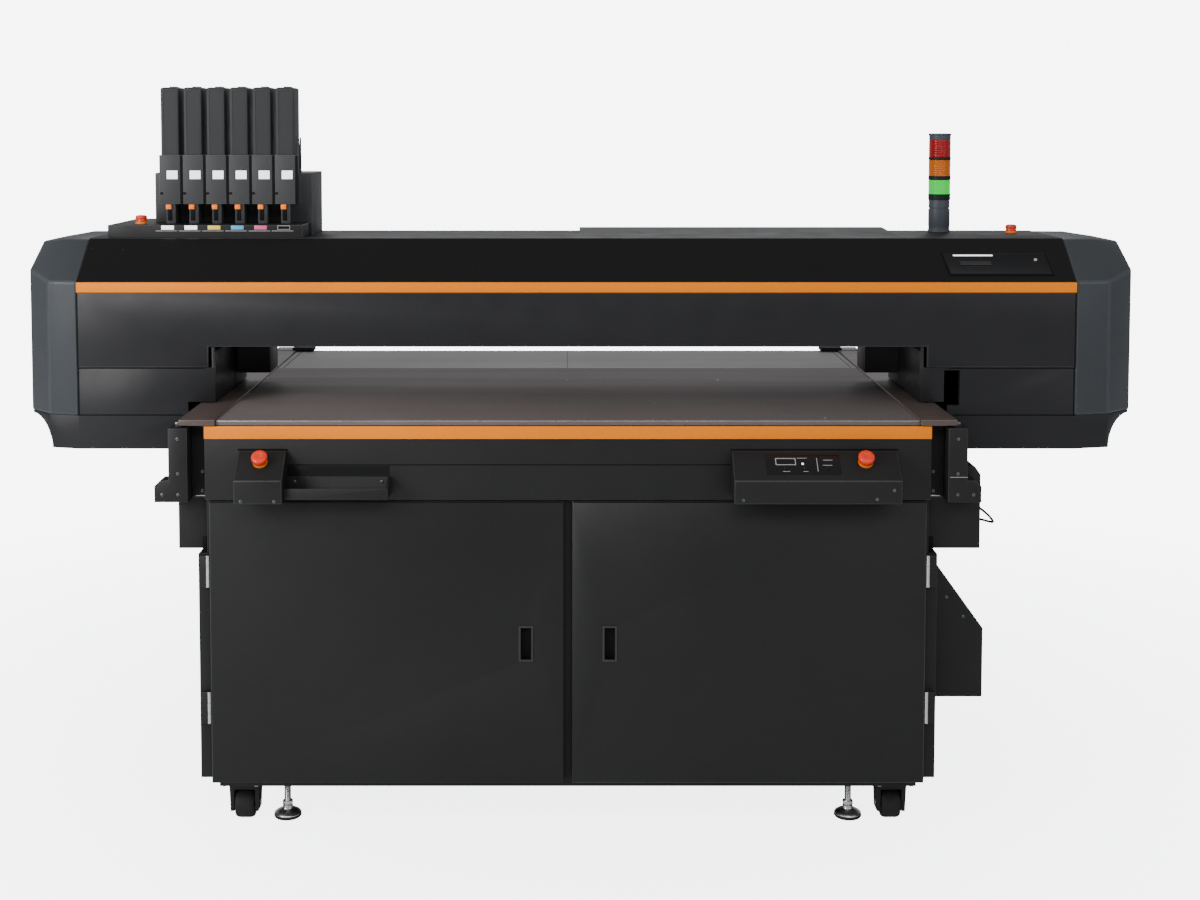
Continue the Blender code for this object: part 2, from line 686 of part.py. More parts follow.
# ---- doors, each hung on its outer edge ----
for side, word in ((-1, "left"), (1, "right")):
    at = (side * door_hinge_x, hinge_y, 0.0)
    axis = make_empty("door_axis_" + word, at, ROOT)
    door = box(
        "door_" + word,
        side_range(side, DOOR_SPLIT, door_outer),
        (door_front, door_front + DOOR_THICK),
        (DOOR_BOTTOM, DOOR_TOP),
        BLACK,
        axis,
        at,
    )
    pull_middle = DOOR_SPLIT + PULL_IN
    pull = box(
        "pull_hollow_" + word,
        side_range(side, pull_middle - PULL_WIDE / 2.0, pull_middle + PULL_WIDE / 2.0),
        (door_front - 0.02, door_front + PULL_DEEP),
        (PULL_HEIGHT - PULL_TALL / 2.0, PULL_HEIGHT + PULL_TALL / 2.0),
        BLACK,
        axis,
        at,
    )
    combine(door, pull, "DIFFERENCE")


# ---- consoles and shelf ----
def console(name, x):
    outline = (
        (-GAP, CONSOLE_BOTTOM),
        (-CONSOLE_DEEP, CONSOLE_BOTTOM),
        (-CONSOLE_DEEP, CONSOLE_BROW),
        (-CONSOLE_LIP, CONSOLE_BACK),
        (-GAP, CONSOLE_BACK),
    )
    return prism(name, outline, 0, x[0], x[1], BLACK, ROOT)


console("console_left", LEFT_CONSOLE)
console("console_right", RIGHT_CONSOLE)

shelf_left = LEFT_CONSOLE[1] + GAP
shelf_outline = (
    (-GAP, SHELF_BOTTOM),
    (-SHELF_DEEP, SHELF_BOTTOM),
    (-SHELF_DEEP, SHELF_BOTTOM + SHELF_LIP),
    (-SHELF_DEEP + SHEET, SHELF_BOTTOM + SHELF_LIP),
    (-SHELF_DEEP + SHEET, SHELF_BOTTOM + SHEET),
    (-GAP - SHEET, SHELF_BOTTOM + SHEET),
    (-GAP - SHEET, SHELF_BOTTOM + SHELF_BACK),
    (-GAP, SHELF_BOTTOM + SHELF_BACK),
)
shelf = prism("tool_shelf", shelf_outline, 0, shelf_left, shelf_left + SHELF_LONG, BLACK, ROOT)
end_outline = (
    (-GAP, SHELF_BOTTOM),
    (-SHELF_DEEP, SHELF_BOTTOM),
    (-SHELF_DEEP, SHELF_BOTTOM + SHELF_LIP),
    (-GAP - SHEET, SHELF_BOTTOM + SHELF_BACK),
    (-GAP, SHELF_BOTTOM + SHELF_BACK),
)
shelf_end = prism(
    "shelf_end",
    end_outline,
    0,
    shelf_left + SHELF_LONG - SHEET,
    shelf_left + SHELF_LONG + SHEET,
    BLACK,
    ROOT,
)
combine(shelf, shelf_end, "UNION")

# ---- pocket on the right side of the cabinet ----
pocket_in = SIDE_HALF + GAP
pocket_out = pocket_in + POCKET_WIDE
pocket_outline = (
    (pocket_in, POCKET_BOTTOM),
    (pocket_out, POCKET_BOTTOM),
    (pocket_out, POCKET_TOP),
    (pocket_in + 0.013, GUSSET_TOP),
    (pocket_in, GUSSET_TOP),
)
pocket_rear = POCKET_FRONT + POCKET_LONG
pocket = prism("side_pocket", pocket_outline, 1, POCKET_FRONT, pocket_rear, BLACK, ROOT)
pocket_room = box(
    "pocket_room",
    (pocket_in + SHEET, pocket_out - SHEET),
    (POCKET_FRONT + SHEET, pocket_rear - SHEET),
    (POCKET_BOTTOM + SHEET, GUSSET_TOP + 0.1),
    BLACK,
    ROOT,
)
combine(pocket, pocket_room, "DIFFERENCE")

# ---- feet: a threaded stem with its pad ----
foot_profile = (
    (PAD_R - 0.003, 0.0),
    (PAD_R, 0.003),
    (PAD_R, 0.010),
    (PAD_R - 0.012, 0.018),
    (0.014, 0.028),
    (0.014, 0.040),
    (STEM_R, 0.040),
    (STEM_R, BASE_BOTTOM - GAP),
)
for word, x, y in (
    ("front_left", -FOOT_X, FOOT_FRONT),
    ("front_right", FOOT_X, FOOT_FRONT),
    ("rear_left", -FOOT_X, FOOT_REAR),
    ("rear_right", FOOT_X, FOOT_REAR),
):
    turned("foot_" + word, foot_profile, 16, STEEL, ROOT, (x, y, 0.0))

# ---- casters: a fork that swivels and a wheel that rolls in it ----
axle_z = WHEEL_R + WHEEL_CLEAR
fork_in = WHEEL_WIDE / 2.0 + RUN
fork_out = fork_in + FORK_WALL
hood_z = axle_z + WHEEL_R + WHEEL_HOOD
hood_half = fork_out + FORK_FLARE
wheel_profile = (
    (AXLE_R + RUN / 2.0, -WHEEL_WIDE / 2.0),
    (WHEEL_R - 0.007, -WHEEL_WIDE / 2.0),
    (WHEEL_R, -WHEEL_WIDE / 2.0 + 0.010),
    (WHEEL_R, WHEEL_WIDE / 2.0 - 0.010),
    (WHEEL_R - 0.007, WHEEL_WIDE / 2.0),
    (AXLE_R + RUN / 2.0, WHEEL_WIDE / 2.0),
)
for word, x, y in (
    ("front_left", -CASTER_X, CASTER_FRONT),
    ("front_right", CASTER_X, CASTER_FRONT),
    ("rear_left", -CASTER_X, CASTER_REAR),
    ("rear_right", CASTER_X, CASTER_REAR),
):
    swivel = make_empty("caster_axis_" + word, (x, y, 0.0), ROOT)
    hood = [
        (x - fork_out, axle_z - 0.014),
        (x - fork_in, axle_z - 0.014),
        (x - fork_in, hood_z),
        (x + fork_in, hood_z),
        (x + fork_in, axle_z - 0.014),
        (x + fork_out, axle_z - 0.014),
        (x + hood_half, BASE_BOTTOM - FORK_SHOULDER),
        (x + hood_half, BASE_BOTTOM - GAP),
        (x - hood_half, BASE_BOTTOM - GAP),
        (x - hood_half, BASE_BOTTOM - FORK_SHOULDER),
    ]
    fork_low = y + CASTER_TRAIL - 0.026
    fork_high = y + CASTER_TRAIL + 0.020
    fork = prism("caster_fork_" + word, hood, 1, fork_low, fork_high, BLACK, swivel, (x, y, 0.0))
    hub = (x, y + CASTER_TRAIL, axle_z)
    axle_bm = turned_bm(((AXLE_R, -fork_out - 0.003), (AXLE_R, fork_out + 0.003)), 10)
    axle = finish("axle_" + word, axle_bm, STEEL, hub, swivel, False, (0.0, math.pi / 2.0, 0.0))
    combine(fork, axle, "UNION")
    turned("caster_wheel_" + word, wheel_profile, 20, RUBBER, swivel, hub, True, (0.0, math.pi / 2.0, 0.0))

# ---- bridge: everything that rides along the rails ----
BRIDGE = make_empty("bridge", (0.0, BRIDGE_FRONT, 0.0), ROOT)
bridge_home = (0.0, BRIDGE_FRONT, 0.0)
skin_back = BRIDGE_FRONT + SKIN


def on_bridge(name, x, y, z, mat):
    """A box whose depth is given from the bridge's front face."""
    depth = (BRIDGE_FRONT + y[0], BRIDGE_FRONT + y[1])
    return box(name, x, depth, z, mat, BRIDGE, bridge_home)


girder = on_bridge(
    "bridge_girder",
    (-BRIDGE_LEFT, BRIDGE_RIGHT),
    (GIRDER_FRONT, GIRDER_FRONT + GIRDER_DEEP),
    (GIRDER_BOTTOM, GIRDER_BOTTOM + GIRDER_TALL),
    BLACK,
)
girder_bore = on_bridge(
    "girder_bore",
    (-BRIDGE_LEFT - 0.05, BRIDGE_RIGHT + 0.05),
    (GIRDER_FRONT + GIRDER_WALL, GIRDER_FRONT + GIRDER_DEEP - GIRDER_WALL),
    (GIRDER_BOTTOM + GIRDER_WALL, GIRDER_BOTTOM + GIRDER_TALL - GIRDER_WALL),
    BLACK,
)
combine(girder, girder_bore, "DIFFERENCE")
track = on_bridge(
    "girder_track",
    (-BRIDGE_LEFT + 0.010, BRIDGE_RIGHT - 0.010),
    (GIRDER_FRONT - TRACK_THICK, GIRDER_FRONT + 0.004),
    (TRACK_HEIGHT, TRACK_HEIGHT + TRACK_TALL),
    STEEL,
)
combine(girder, track, "UNION")

cover_hinge = (0.0, BRIDGE_FRONT - 0.0005, COVER_TOP - 0.0008)
COVER_AXIS = make_empty("cover_axis", cover_hinge, BRIDGE)
cover_outline = (
    (-BRIDGE_LEFT, ENDS_BOTTOM),
    (-ENDS_INNER, ENDS_BOTTOM),
    (-ENDS_INNER, BRIDGE_BOTTOM),
    (ENDS_INNER, BRIDGE_BOTTOM),
    (ENDS_INNER, ENDS_BOTTOM),
    (BRIDGE_RIGHT, ENDS_BOTTOM),
    (BRIDGE_RIGHT, COVER_TOP),
    (-BRIDGE_LEFT, COVER_TOP),
)
prism("front_cover", cover_outline, 1, BRIDGE_FRONT, skin_back, DARK, COVER_AXIS, cover_hinge)
on_bridge(
    "bridge_strip",
    (-BRIDGE_LEFT, BRIDGE_RIGHT),
    (-ORANGE_PROUD, SKIN),
    (ORANGE_BOTTOM, ORANGE_BOTTOM + ORANGE_TALL),
    ORANGE,
)
slope_outline = (
    (BRIDGE_FRONT, SLOPE_BOTTOM),
    (BRIDGE_FRONT + SLOPE_DEEP, TOP_HEIGHT),
    (BRIDGE_FRONT + SLOPE_DEEP, TOP_HEIGHT - 1.6 * TOP_THICK),
    (BRIDGE_FRONT + 1.6 * TOP_THICK, SLOPE_BOTTOM),
)
prism("upper_fascia", slope_outline, 0, -BRIDGE_LEFT, BRIDGE_RIGHT, GLOSS, BRIDGE, bridge_home)

# the top and the back of the bridge are one bent sheet, with a raised lid
top_front = BRIDGE_FRONT + SLOPE_DEEP + GAP
hood_outline = (
    (top_front, TOP_HEIGHT - TOP_THICK),
    (top_front, TOP_HEIGHT),
    (BRIDGE_BACK, TOP_HEIGHT),
    (BRIDGE_BACK, BRIDGE_BOTTOM),
    (BRIDGE_BACK - TOP_THICK, BRIDGE_BOTTOM),
    (BRIDGE_BACK - TOP_THICK, TOP_HEIGHT - TOP_THICK),
)
hood = prism("top_cover", hood_outline, 0, -BRIDGE_LEFT, BRIDGE_RIGHT, GREY, BRIDGE, bridge_home)
lid_back = BRIDGE_BACK - LID_BACK
lid_outline = (
    (lid_back - LID_DEEP, TOP_HEIGHT - LID_SINK),
    (lid_back - LID_DEEP, TOP_HEIGHT + 0.001),
    (lid_back, TOP_HEIGHT + LID_RISE),
    (lid_back, TOP_HEIGHT - LID_SINK),
)
lid = prism("top_lid", lid_outline, 0, LID_LEFT, TOWER_X - LID_SHORT, GREY, BRIDGE, bridge_home)
combine(hood, lid, "UNION")


# ---- end caps: faceted blocks with a leaning outer wall ----
def crease_of(inner, outer):
    return inner + CAP_CREASE * (outer - inner)


def end_cap(name, side, inner, outer):
    """Front facets turn in two steps, and the outer wall leans in above the shoulder."""
    crease = crease_of(inner, outer)
    back = BRIDGE_BACK
    low = SKIRT_TOP + GAP
    front = BRIDGE_FRONT
    lean = outer - CAP_LEAN
    top = CAP_TOP
    shoulder = SLOPE_BOTTOM + CAP_SHOULDER
    lower_ring = (
        (inner, front),
        (crease, front + CAP_CREASE_BACK),
        (outer, front + CAP_CORNER_BACK),
        (outer, back - CAP_REAR_IN),
        (crease, back),
        (inner, back),
    )
    # the slope above the strip runs on over the cap
    rise = SLOPE_BOTTOM
    run = SLOPE_DEEP / (TOP_HEIGHT - SLOPE_BOTTOM)
    upper_front = front + (top - rise) * run
    upper_ring = (
        (inner, upper_front),
        (crease - 0.010, upper_front + 0.012),
        (lean, upper_front + 0.060),
        (lean, back - CAP_REAR_IN),
        (crease, back),
        (inner, back),
    )
    levels = (
        (lower_ring, (low,) * 6),
        (lower_ring, (rise, rise, shoulder, shoulder, rise, rise)),
        (upper_ring, (top, top, top - 0.010, top - 0.010, top, top)),
    )
    bm = bmesh.new()
    rows = []
    for ring, heights in levels:
        row = []
        for (across, depth), up in zip(ring, heights):
            row.append(bm.verts.new((side * across, depth - BRIDGE_FRONT, up)))
        rows.append(row)
    bm.faces.new(rows[0])
    bm.faces.new(rows[2])
    for below, above in zip(rows[:-1], rows[1:]):
        for number in range(6):
            after = (number + 1) % 6
            bm.faces.new((below[number], below[after], above[after], above[number]))
    bmesh.ops.triangulate(bm, faces=bm.faces)
    return finish(name, bm, SLATE, bridge_home, BRIDGE)


end_cap("end_cap_left", -1, BRIDGE_LEFT + GAP, CAP_LEFT)
end_cap("end_cap_right", 1, BRIDGE_RIGHT + GAP, CAP_RIGHT)

# ---- legs: skirt, lower panel, inner side sheet and the pillar that stands over the rail ----
for side, word, cap_out, house_end in (
    (-1, "left", CAP_LEFT, BRIDGE_LEFT),
    (1, "right", CAP_RIGHT, BRIDGE_RIGHT),
):
    skirt_outline = [(SKIRT_INNER, SKIRT_TOP), (SKIRT_INNER, SKIRT_BOTTOM)]
    outer = cap_out - SKIRT_STEP
    for number in range(9):
        angle = 0.5 * math.pi * number / 8.0
        across = outer - SKIRT_ARC * math.cos(angle)
        up = SKIRT_BOTTOM + (SKIRT_TALL - 0.006) * math.sin(angle)
        skirt_outline.append((across, up))
    skirt_outline.append((outer, SKIRT_TOP))
    leg = prism(
        "leg_" + word,
        mirrored(skirt_outline, side),
        1,
        BRIDGE_FRONT + SKIRT_STEP,
        BRIDGE_BACK - SKIRT_STEP,
        DARK,
        BRIDGE,
        bridge_home,
    )
    # the skirt is cut back to the facets of the end cap above it
    crease = crease_of(house_end + GAP, cap_out)
    beyond = cap_out + 0.05
    front_corner = [
        (house_end, BRIDGE_FRONT - 0.05),
        (beyond, BRIDGE_FRONT - 0.05),
        (beyond, BRIDGE_FRONT + CAP_CORNER_BACK + SKIRT_STEP),
        (cap_out, BRIDGE_FRONT + CAP_CORNER_BACK + SKIRT_STEP),
        (crease, BRIDGE_FRONT + CAP_CREASE_BACK + SKIRT_STEP),
        (house_end, BRIDGE_FRONT + SKIRT_STEP),
    ]
    rear_corner = [
        (crease, BRIDGE_BACK - SKIRT_STEP),
        (cap_out, BRIDGE_BACK - CAP_REAR_IN - SKIRT_STEP),
        (beyond, BRIDGE_BACK - CAP_REAR_IN - SKIRT_STEP),
        (beyond, BRIDGE_BACK + 0.05),
        (crease, BRIDGE_BACK + 0.05),
    ]
    for tag, corner in (("front_", front_corner), ("rear_", rear_corner)):
        cutter = prism(
            "skirt_corner_" + tag + word,
            mirrored(corner, side),
            2,
            SKIRT_BOTTOM - 0.05,
            SKIRT_TOP + 0.05,
            DARK,
            BRIDGE,
            bridge_home,
        )
        combine(leg, cutter, "DIFFERENCE")
    panel_inner = on_bridge(
        "lower_panel_inner_" + word,
        side_range(side, LEG_INNER, SKIRT_INNER + 0.010),
        (SKIRT_STEP, SKIN),
        (LEG_FLOOR, ENDS_BOTTOM - GAP),
        DARK,
    )
    combine(leg, panel_inner, "UNION")
    panel_outer = on_bridge(
        "lower_panel_outer_" + word,
        side_range(side, SKIRT_INNER + 0.002, house_end),
        (SKIRT_STEP, SKIN),
        (SKIRT_TOP - 0.010, ENDS_BOTTOM - GAP),
        DARK,
    )
    combine(leg, panel_outer, "UNION")
    rear_panel = on_bridge(
        "rear_panel_" + word,
        side_range(side, SKIRT_INNER + 0.002, house_end),
        (BRIDGE_DEEP - REAR_SKIN, BRIDGE_DEEP - SKIRT_STEP),
        (SKIRT_TOP - 0.010, BRIDGE_BOTTOM - GAP),
        DARK,
    )
    combine(leg, rear_panel, "UNION")
    rail_side = BEAM_HALF - RAIL_INSET - RAIL_WIDE - RUN
    pillar_outline = [
        (LEG_INNER, LEG_FLOOR),
        (rail_side, LEG_FLOOR),
        (rail_side, RAIL_TOP + RUN),
        (SKIRT_INNER + 0.004, RAIL_TOP + RUN),
        (SKIRT_INNER + 0.004, SKIRT_BOTTOM + 0.030),
        (LEG_OUTER, SKIRT_BOTTOM + 0.030),
        (LEG_OUTER, GIRDER_BOTTOM - GAP),
        (LEG_INNER, GIRDER_BOTTOM - GAP),
    ]
    pillar = prism(
        "pillar_" + word,
        mirrored(pillar_outline, side),
        1,
        GIRDER_Y,
        GIRDER_Y + LEG_LONG,
        DARK,
        BRIDGE,
        bridge_home,
    )
    combine(leg, pillar, "UNION")
    side_sheet = on_bridge(
        "side_sheet_" + word,
        side_range(side, LEG_INNER + 0.0002, LEG_INNER + LEG_SHEET),
        (SKIRT_STEP + 0.0002, GIRDER_FRONT + 0.020),
        (LEG_FLOOR + 0.0002, BRIDGE_BOTTOM - RUN),
        DARK,
    )
    combine(leg, side_sheet, "UNION")
    pod = on_bridge(
        "pod_" + word,
        side_range(side, POD_INNER, LEG_INNER + 0.020),
        (GIRDER_FRONT + LEG_LONG - POD_LONG, GIRDER_FRONT + LEG_LONG - 0.004),
        (POD_BOTTOM, GIRDER_BOTTOM - GAP),
        DARK,
    )
    combine(leg, pod, "UNION")
    if side > 0:
        slot = on_bridge(
            "panel_slot",
            (SKIRT_INNER - SLOT_IN, SKIRT_INNER - SLOT_IN + SLOT_WIDE),
            (-0.02, SKIN + 0.02),
            (SKIRT_TOP + SLOT_FLOOR, ENDS_BOTTOM - SLOT_ROOF),
            DARK,
        )
        combine(leg, slot, "DIFFERENCE")

# ---- print carriage, parked in the right end housing, with the head box that it lowers to the sheet ----
carriage_back = GIRDER_FRONT - TRACK_THICK - RUN
carriage_x = BRIDGE_RIGHT - CARRIAGE_PARK
carriage_side = (carriage_x - CARRIAGE_WIDE / 2.0, carriage_x + CARRIAGE_WIDE / 2.0)
carriage_low = BRIDGE_BOTTOM + CARRIAGE_OVER
carriage_top = TOP_HEIGHT - CARRIAGE_UNDER
on_bridge(
    "print_carriage",
    carriage_side,
    (carriage_back - CARRIAGE_PLATE, carriage_back),
    (carriage_low, carriage_top),
    GREY,
)
on_bridge(
    "print_head",
    carriage_side,
    (CARRIAGE_FRONT, carriage_back - CARRIAGE_PLATE - RUN),
    (carriage_low, carriage_top - HEAD_UNDER),
    GREY,
)

# ---- ink station on top, at the left ----
on_bridge(
    "ink_tray",
    (-TRAY_LEFT, TRAY_RIGHT),
    (TRAY_FRONT, TRAY_REAR),
    (TOP_HEIGHT + GAP, TRAY_TOP),
    BLACK,
)
rack = on_bridge(
    "ink_rack",
    (INK_FIRST - SLEEVE_HALF - HOUSING_LEFT, HOUSING_END),
    (HOUSING_FRONT, TRAY_REAR),
    (TRAY_TOP + GAP, TRAY_TOP + HOUSING_TALL),
    BLACK,
)
side_plate = on_bridge(
    "rack_side_plate",
    (HOUSING_END - HOUSING_PLATE, HOUSING_END),
    (HOUSING_FRONT, TRAY_REAR),
    (TOP_HEIGHT + GAP, TRAY_TOP + 0.010),
    BLACK,
)
combine(rack, side_plate, "UNION")
for number in range(INK_COUNT):
    middle = INK_FIRST + number * INK_PITCH
    tag = str(number + 1)
    sleeve = on_bridge(
        "sleeve_" + tag,
        (middle - SLEEVE_HALF, middle + SLEEVE_HALF),
        (INK_FRONT - HAIR - SLEEVE_WALL, INK_FRONT + INK_DEEP + HAIR + SLEEVE_WALL),
        (SLEEVE_BOTTOM, SLEEVE_TOP),
        BLACK,
    )
    combine(rack, sleeve, "UNION")
    latch = on_bridge(
        "latch_plate_" + tag,
        (middle - LATCH_WIDE / 2.0, middle + LATCH_WIDE / 2.0),
        (INK_FRONT - HAIR - SLEEVE_WALL + LATCH_BACK, HOUSING_FRONT + 0.004),
        (TRAY_TOP + GAP, SLEEVE_BOTTOM + 0.010),
        BLACK,
    )
    combine(rack, latch, "UNION")
for number in range(INK_COUNT):
    middle = INK_FIRST + number * INK_PITCH
    tag = str(number + 1)
    socket = on_bridge(
        "socket_" + tag,
        (middle - INK_WIDE / 2.0 - HAIR, middle + INK_WIDE / 2.0 + HAIR),
        (INK_FRONT - HAIR, INK_FRONT + INK_DEEP + HAIR),
        (INK_BOTTOM - GAP, SLEEVE_TOP + 0.05),
        BLACK,
    )
    combine(rack, socket, "DIFFERENCE")
    at = (middle, BRIDGE_FRONT + INK_FRONT + INK_DEEP / 2.0, INK_BOTTOM)
    box(
        "ink_bottle_" + tag,
        (middle - INK_WIDE / 2.0, middle + INK_WIDE / 2.0),
        (BRIDGE_FRONT + INK_FRONT, BRIDGE_FRONT + INK_FRONT + INK_DEEP),
        (INK_BOTTOM, INK_BOTTOM + INK_TALL),
        INK,
        BRIDGE,
        at,
    )

# ---- signal tower: a post with a core, and three lens rings stacked on it ----
tower_at = (TOWER_X, BRIDGE_FRONT + TOWER_BACK, TOP_HEIGHT + GAP)
profile = [
    (TOWER_R, 0.0),
    (TOWER_R, TOWER_BASE),
    (TOWER_R - 0.0015, TOWER_BASE),
    (TOWER_R - 0.0015, TOWER_BASE + TOWER_NECK),
    (TOWER_CORE, TOWER_BASE + TOWER_NECK),
]
level = TOWER_BASE + TOWER_NECK
lens_levels = []
for number in range(3):
    lens_levels.append(level)
    level = level + GAP + LENS_TALL + GAP
    profile.append((TOWER_CORE, level))
    if number < 2:
        profile.append((TOWER_R - 0.001, level))
        level = level + TOWER_FLANGE
        profile.append((TOWER_R - 0.001, level))
        profile.append((TOWER_CORE, level))
profile.append((TOWER_R + 0.001, level))
profile.append((TOWER_R + 0.001, level + TOWER_CAP - 0.004))
profile.append((TOWER_R - 0.004, level + TOWER_CAP))
turned("tower_post", profile, 20, TOWER, BRIDGE, tower_at)
for word, mat, level in zip(("green", "amber", "red"), (LENS_GREEN, LENS_AMBER, LENS_RED), lens_levels):
    ring = (
        (TOWER_CORE + GAP, GAP),
        (TOWER_R, GAP),
        (TOWER_R, GAP + LENS_TALL),
        (TOWER_CORE + GAP, GAP + LENS_TALL),
    )
    at = (tower_at[0], tower_at[1], tower_at[2] + level)
    turned("lens_" + word, ring, 20, mat, BRIDGE, at, True)


# ---- stop buttons: each is pressed along its own axis ----
def stop_button(name, at, parent, size, turn=(0.0, 0.0, 0.0)):
    clear = STOP_TRAVEL + 0.001
    profile = (
        (STOP_STEM * size, clear),
        (STOP_STEM * size, STOP_TALL * size - 0.012 * size + clear / 2.0),
        (STOP_R * size, STOP_TALL * size - 0.010 * size + clear / 2.0),
        (STOP_R * size, STOP_TALL * size - 0.003 * size + clear / 2.0),
        (STOP_R * size * 0.8, STOP_TALL * size + clear / 2.0),
    )
    return turned(name, profile, 16, RED, parent, at, False, turn)


slope_run = CONSOLE_DEEP - CONSOLE_LIP
slope_drop = CONSOLE_BACK - CONSOLE_BROW
slope_tilt = math.atan2(slope_drop, slope_run)
stop_y = -CONSOLE_LIP - CONSOLE_STOP_DOWN * math.cos(slope_tilt)
stop_z = CONSOLE_BACK - CONSOLE_STOP_DOWN * math.sin(slope_tilt)
for word, x in (
    ("left", LEFT_CONSOLE[0] + CONSOLE_STOP_LEFT),
    ("right", RIGHT_CONSOLE[1] - CONSOLE_STOP_RIGHT),
):
    stop_button("console_stop_" + word, (x, stop_y, stop_z), ROOT, 1.0, (slope_tilt, 0.0, 0.0))
stop_button(
    "bridge_stop_left",
    (BRIDGE_STOP_LEFT - TRAY_LEFT, BRIDGE_FRONT + BRIDGE_STOP_LEFT_BACK, TRAY_TOP),
    BRIDGE,
    SMALL_STOP,
)
stop_button(
    "bridge_stop_right",
    (BRIDGE_RIGHT - BRIDGE_STOP_RIGHT, BRIDGE_FRONT + BRIDGE_STOP_RIGHT_BACK, TOP_HEIGHT),
    BRIDGE,
    SMALL_STOP,
)


# ---- cable loop that leaves the chain cover and goes back in ----
def smooth_route(points, steps):
    """Points on a smooth curve through the given ones."""
    padded = [points[0]] + list(points) + [points[-1]]
    result = []
    for number in range(len(padded) - 3):
        before, start, end, after = (Vector(spot) for spot in padded[number:number + 4])
        for step in range(steps):
            t = step / steps
            spot = 0.5 * (
                2.0 * start
                + (end - before) * t
                + (2.0 * before - 5.0 * start + 4.0 * end - after) * t * t
                + (3.0 * start - before - 3.0 * end + after) * t * t * t
            )
            result.append(spot)
    result.append(Vector(points[-1]))
    return result


wall = CHAIN_OUTER + GAP
route = [(wall + out, back, CHAIN_TOP - down) for back, down, out in CABLE_ROUTE]
curve = bpy.data.curves.new("loop_cable", "CURVE")
curve.dimensions = "3D"
curve.bevel_depth = CABLE_R
curve.bevel_resolution = 2
curve.use_fill_caps = True
spline = curve.splines.new("POLY")
spots = [Vector(route[0])] + smooth_route(route[1:-1], 3) + [Vector(route[-1])]
spline.points.add(len(spots) - 1)
for point, spot in zip(spline.points, spots):
    point.co = (*spot, 1.0)
curve.materials.append(CABLE)
cable = bpy.data.objects.new("loop_cable", curve)
bpy.context.scene.collection.objects.link(cable)
place(cable, (0.0, 0.0, 0.0), ROOT)
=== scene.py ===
import json
import math

import bpy
from mathutils import Matrix, Vector


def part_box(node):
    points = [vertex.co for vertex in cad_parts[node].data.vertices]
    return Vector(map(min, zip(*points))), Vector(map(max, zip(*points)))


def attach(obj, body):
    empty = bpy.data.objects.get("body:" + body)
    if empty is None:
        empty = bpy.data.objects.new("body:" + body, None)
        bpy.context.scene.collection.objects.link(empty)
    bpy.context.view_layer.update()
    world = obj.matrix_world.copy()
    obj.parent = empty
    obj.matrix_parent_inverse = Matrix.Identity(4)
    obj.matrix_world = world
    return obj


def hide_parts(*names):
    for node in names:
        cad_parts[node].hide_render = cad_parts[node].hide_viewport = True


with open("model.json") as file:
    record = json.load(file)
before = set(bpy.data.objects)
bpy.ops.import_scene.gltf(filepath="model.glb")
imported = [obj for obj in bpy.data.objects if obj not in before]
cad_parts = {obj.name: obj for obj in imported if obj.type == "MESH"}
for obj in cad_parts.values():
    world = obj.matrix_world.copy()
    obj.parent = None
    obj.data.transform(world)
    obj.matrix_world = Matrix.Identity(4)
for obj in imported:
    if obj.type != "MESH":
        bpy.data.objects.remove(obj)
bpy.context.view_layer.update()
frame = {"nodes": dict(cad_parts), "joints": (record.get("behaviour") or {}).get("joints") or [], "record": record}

cadNodes = frame["nodes"]
bodyOf = {}
for bodyName, members in frame["record"]["behaviour"]["bodies"].items():
    for member in members:
        bodyOf[member] = bodyName
print("frame loaded with", len(cadNodes), "nodes")

# places and directions that everything else is set out from
bedLow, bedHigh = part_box("bed_plate")
coverLow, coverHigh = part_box("front_cover")
cabinetLow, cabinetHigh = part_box("cabinet")
tableMid = (bedLow.x + bedHigh.x) / 2.0
tableFront = bedLow.y
sides = ((-1, "left"), (1, "right"))
corners = ("front_left", "front_right", "rear_left", "rear_right")
front, back, leftward, rightward = (0, -1, 0), (0, 1, 0), (-1, 0, 0), (1, 0, 0)
shift = Matrix.Translation


def freshStart():
    if bpy.context.object is not None and bpy.context.object.mode != "OBJECT":
        bpy.ops.object.mode_set(mode="OBJECT")
    bpy.ops.object.select_all(action="DESELECT")


def makeActive(piece):
    freshStart()
    piece.select_set(True)
    bpy.context.view_layer.objects.active = piece


def looksUp(face):
    return face.normal.z > 0.9


def anyFace(face):
    return True


def pickFaces(piece, wanted):  # leaves the piece in edit mode with the wanted faces selected
    makeActive(piece)
    bpy.ops.object.mode_set(mode="EDIT")
    bpy.ops.mesh.select_mode(type="FACE")
    bpy.ops.mesh.select_all(action="DESELECT")
    bpy.ops.object.mode_set(mode="OBJECT")
    for face in piece.data.polygons:
        face.select = wanted(face)
    bpy.ops.object.mode_set(mode="EDIT")


def insetFaces(piece, wanted, rim, depth=0.0, push=None):  # push moves the inset faces with new walls
    pickFaces(piece, wanted)
    bpy.ops.mesh.inset(thickness=rim, depth=depth)
    if push is not None:
        bpy.ops.mesh.extrude_region_move(TRANSFORM_OT_translate={"value": push})
    bpy.ops.object.mode_set(mode="OBJECT")


def applyModifier(piece, kind, **values):
    makeActive(piece)
    modifier = piece.modifiers.new(kind.lower(), kind)
    for key, value in values.items():
        setattr(modifier, key, value)
    bpy.ops.object.modifier_apply(modifier=modifier.name)


def bevelEdges(piece, width, segments=2, angle=30.0, edgeSlot=-1):
    applyModifier(
        piece, "BEVEL", width=width, segments=segments, limit_method="ANGLE",
        angle_limit=math.radians(angle), harden_normals=False, material=edgeSlot,
    )


def smoothByAngle(piece, angle=32.0):
    makeActive(piece)
    bpy.ops.object.shade_smooth_by_angle(angle=math.radians(angle))


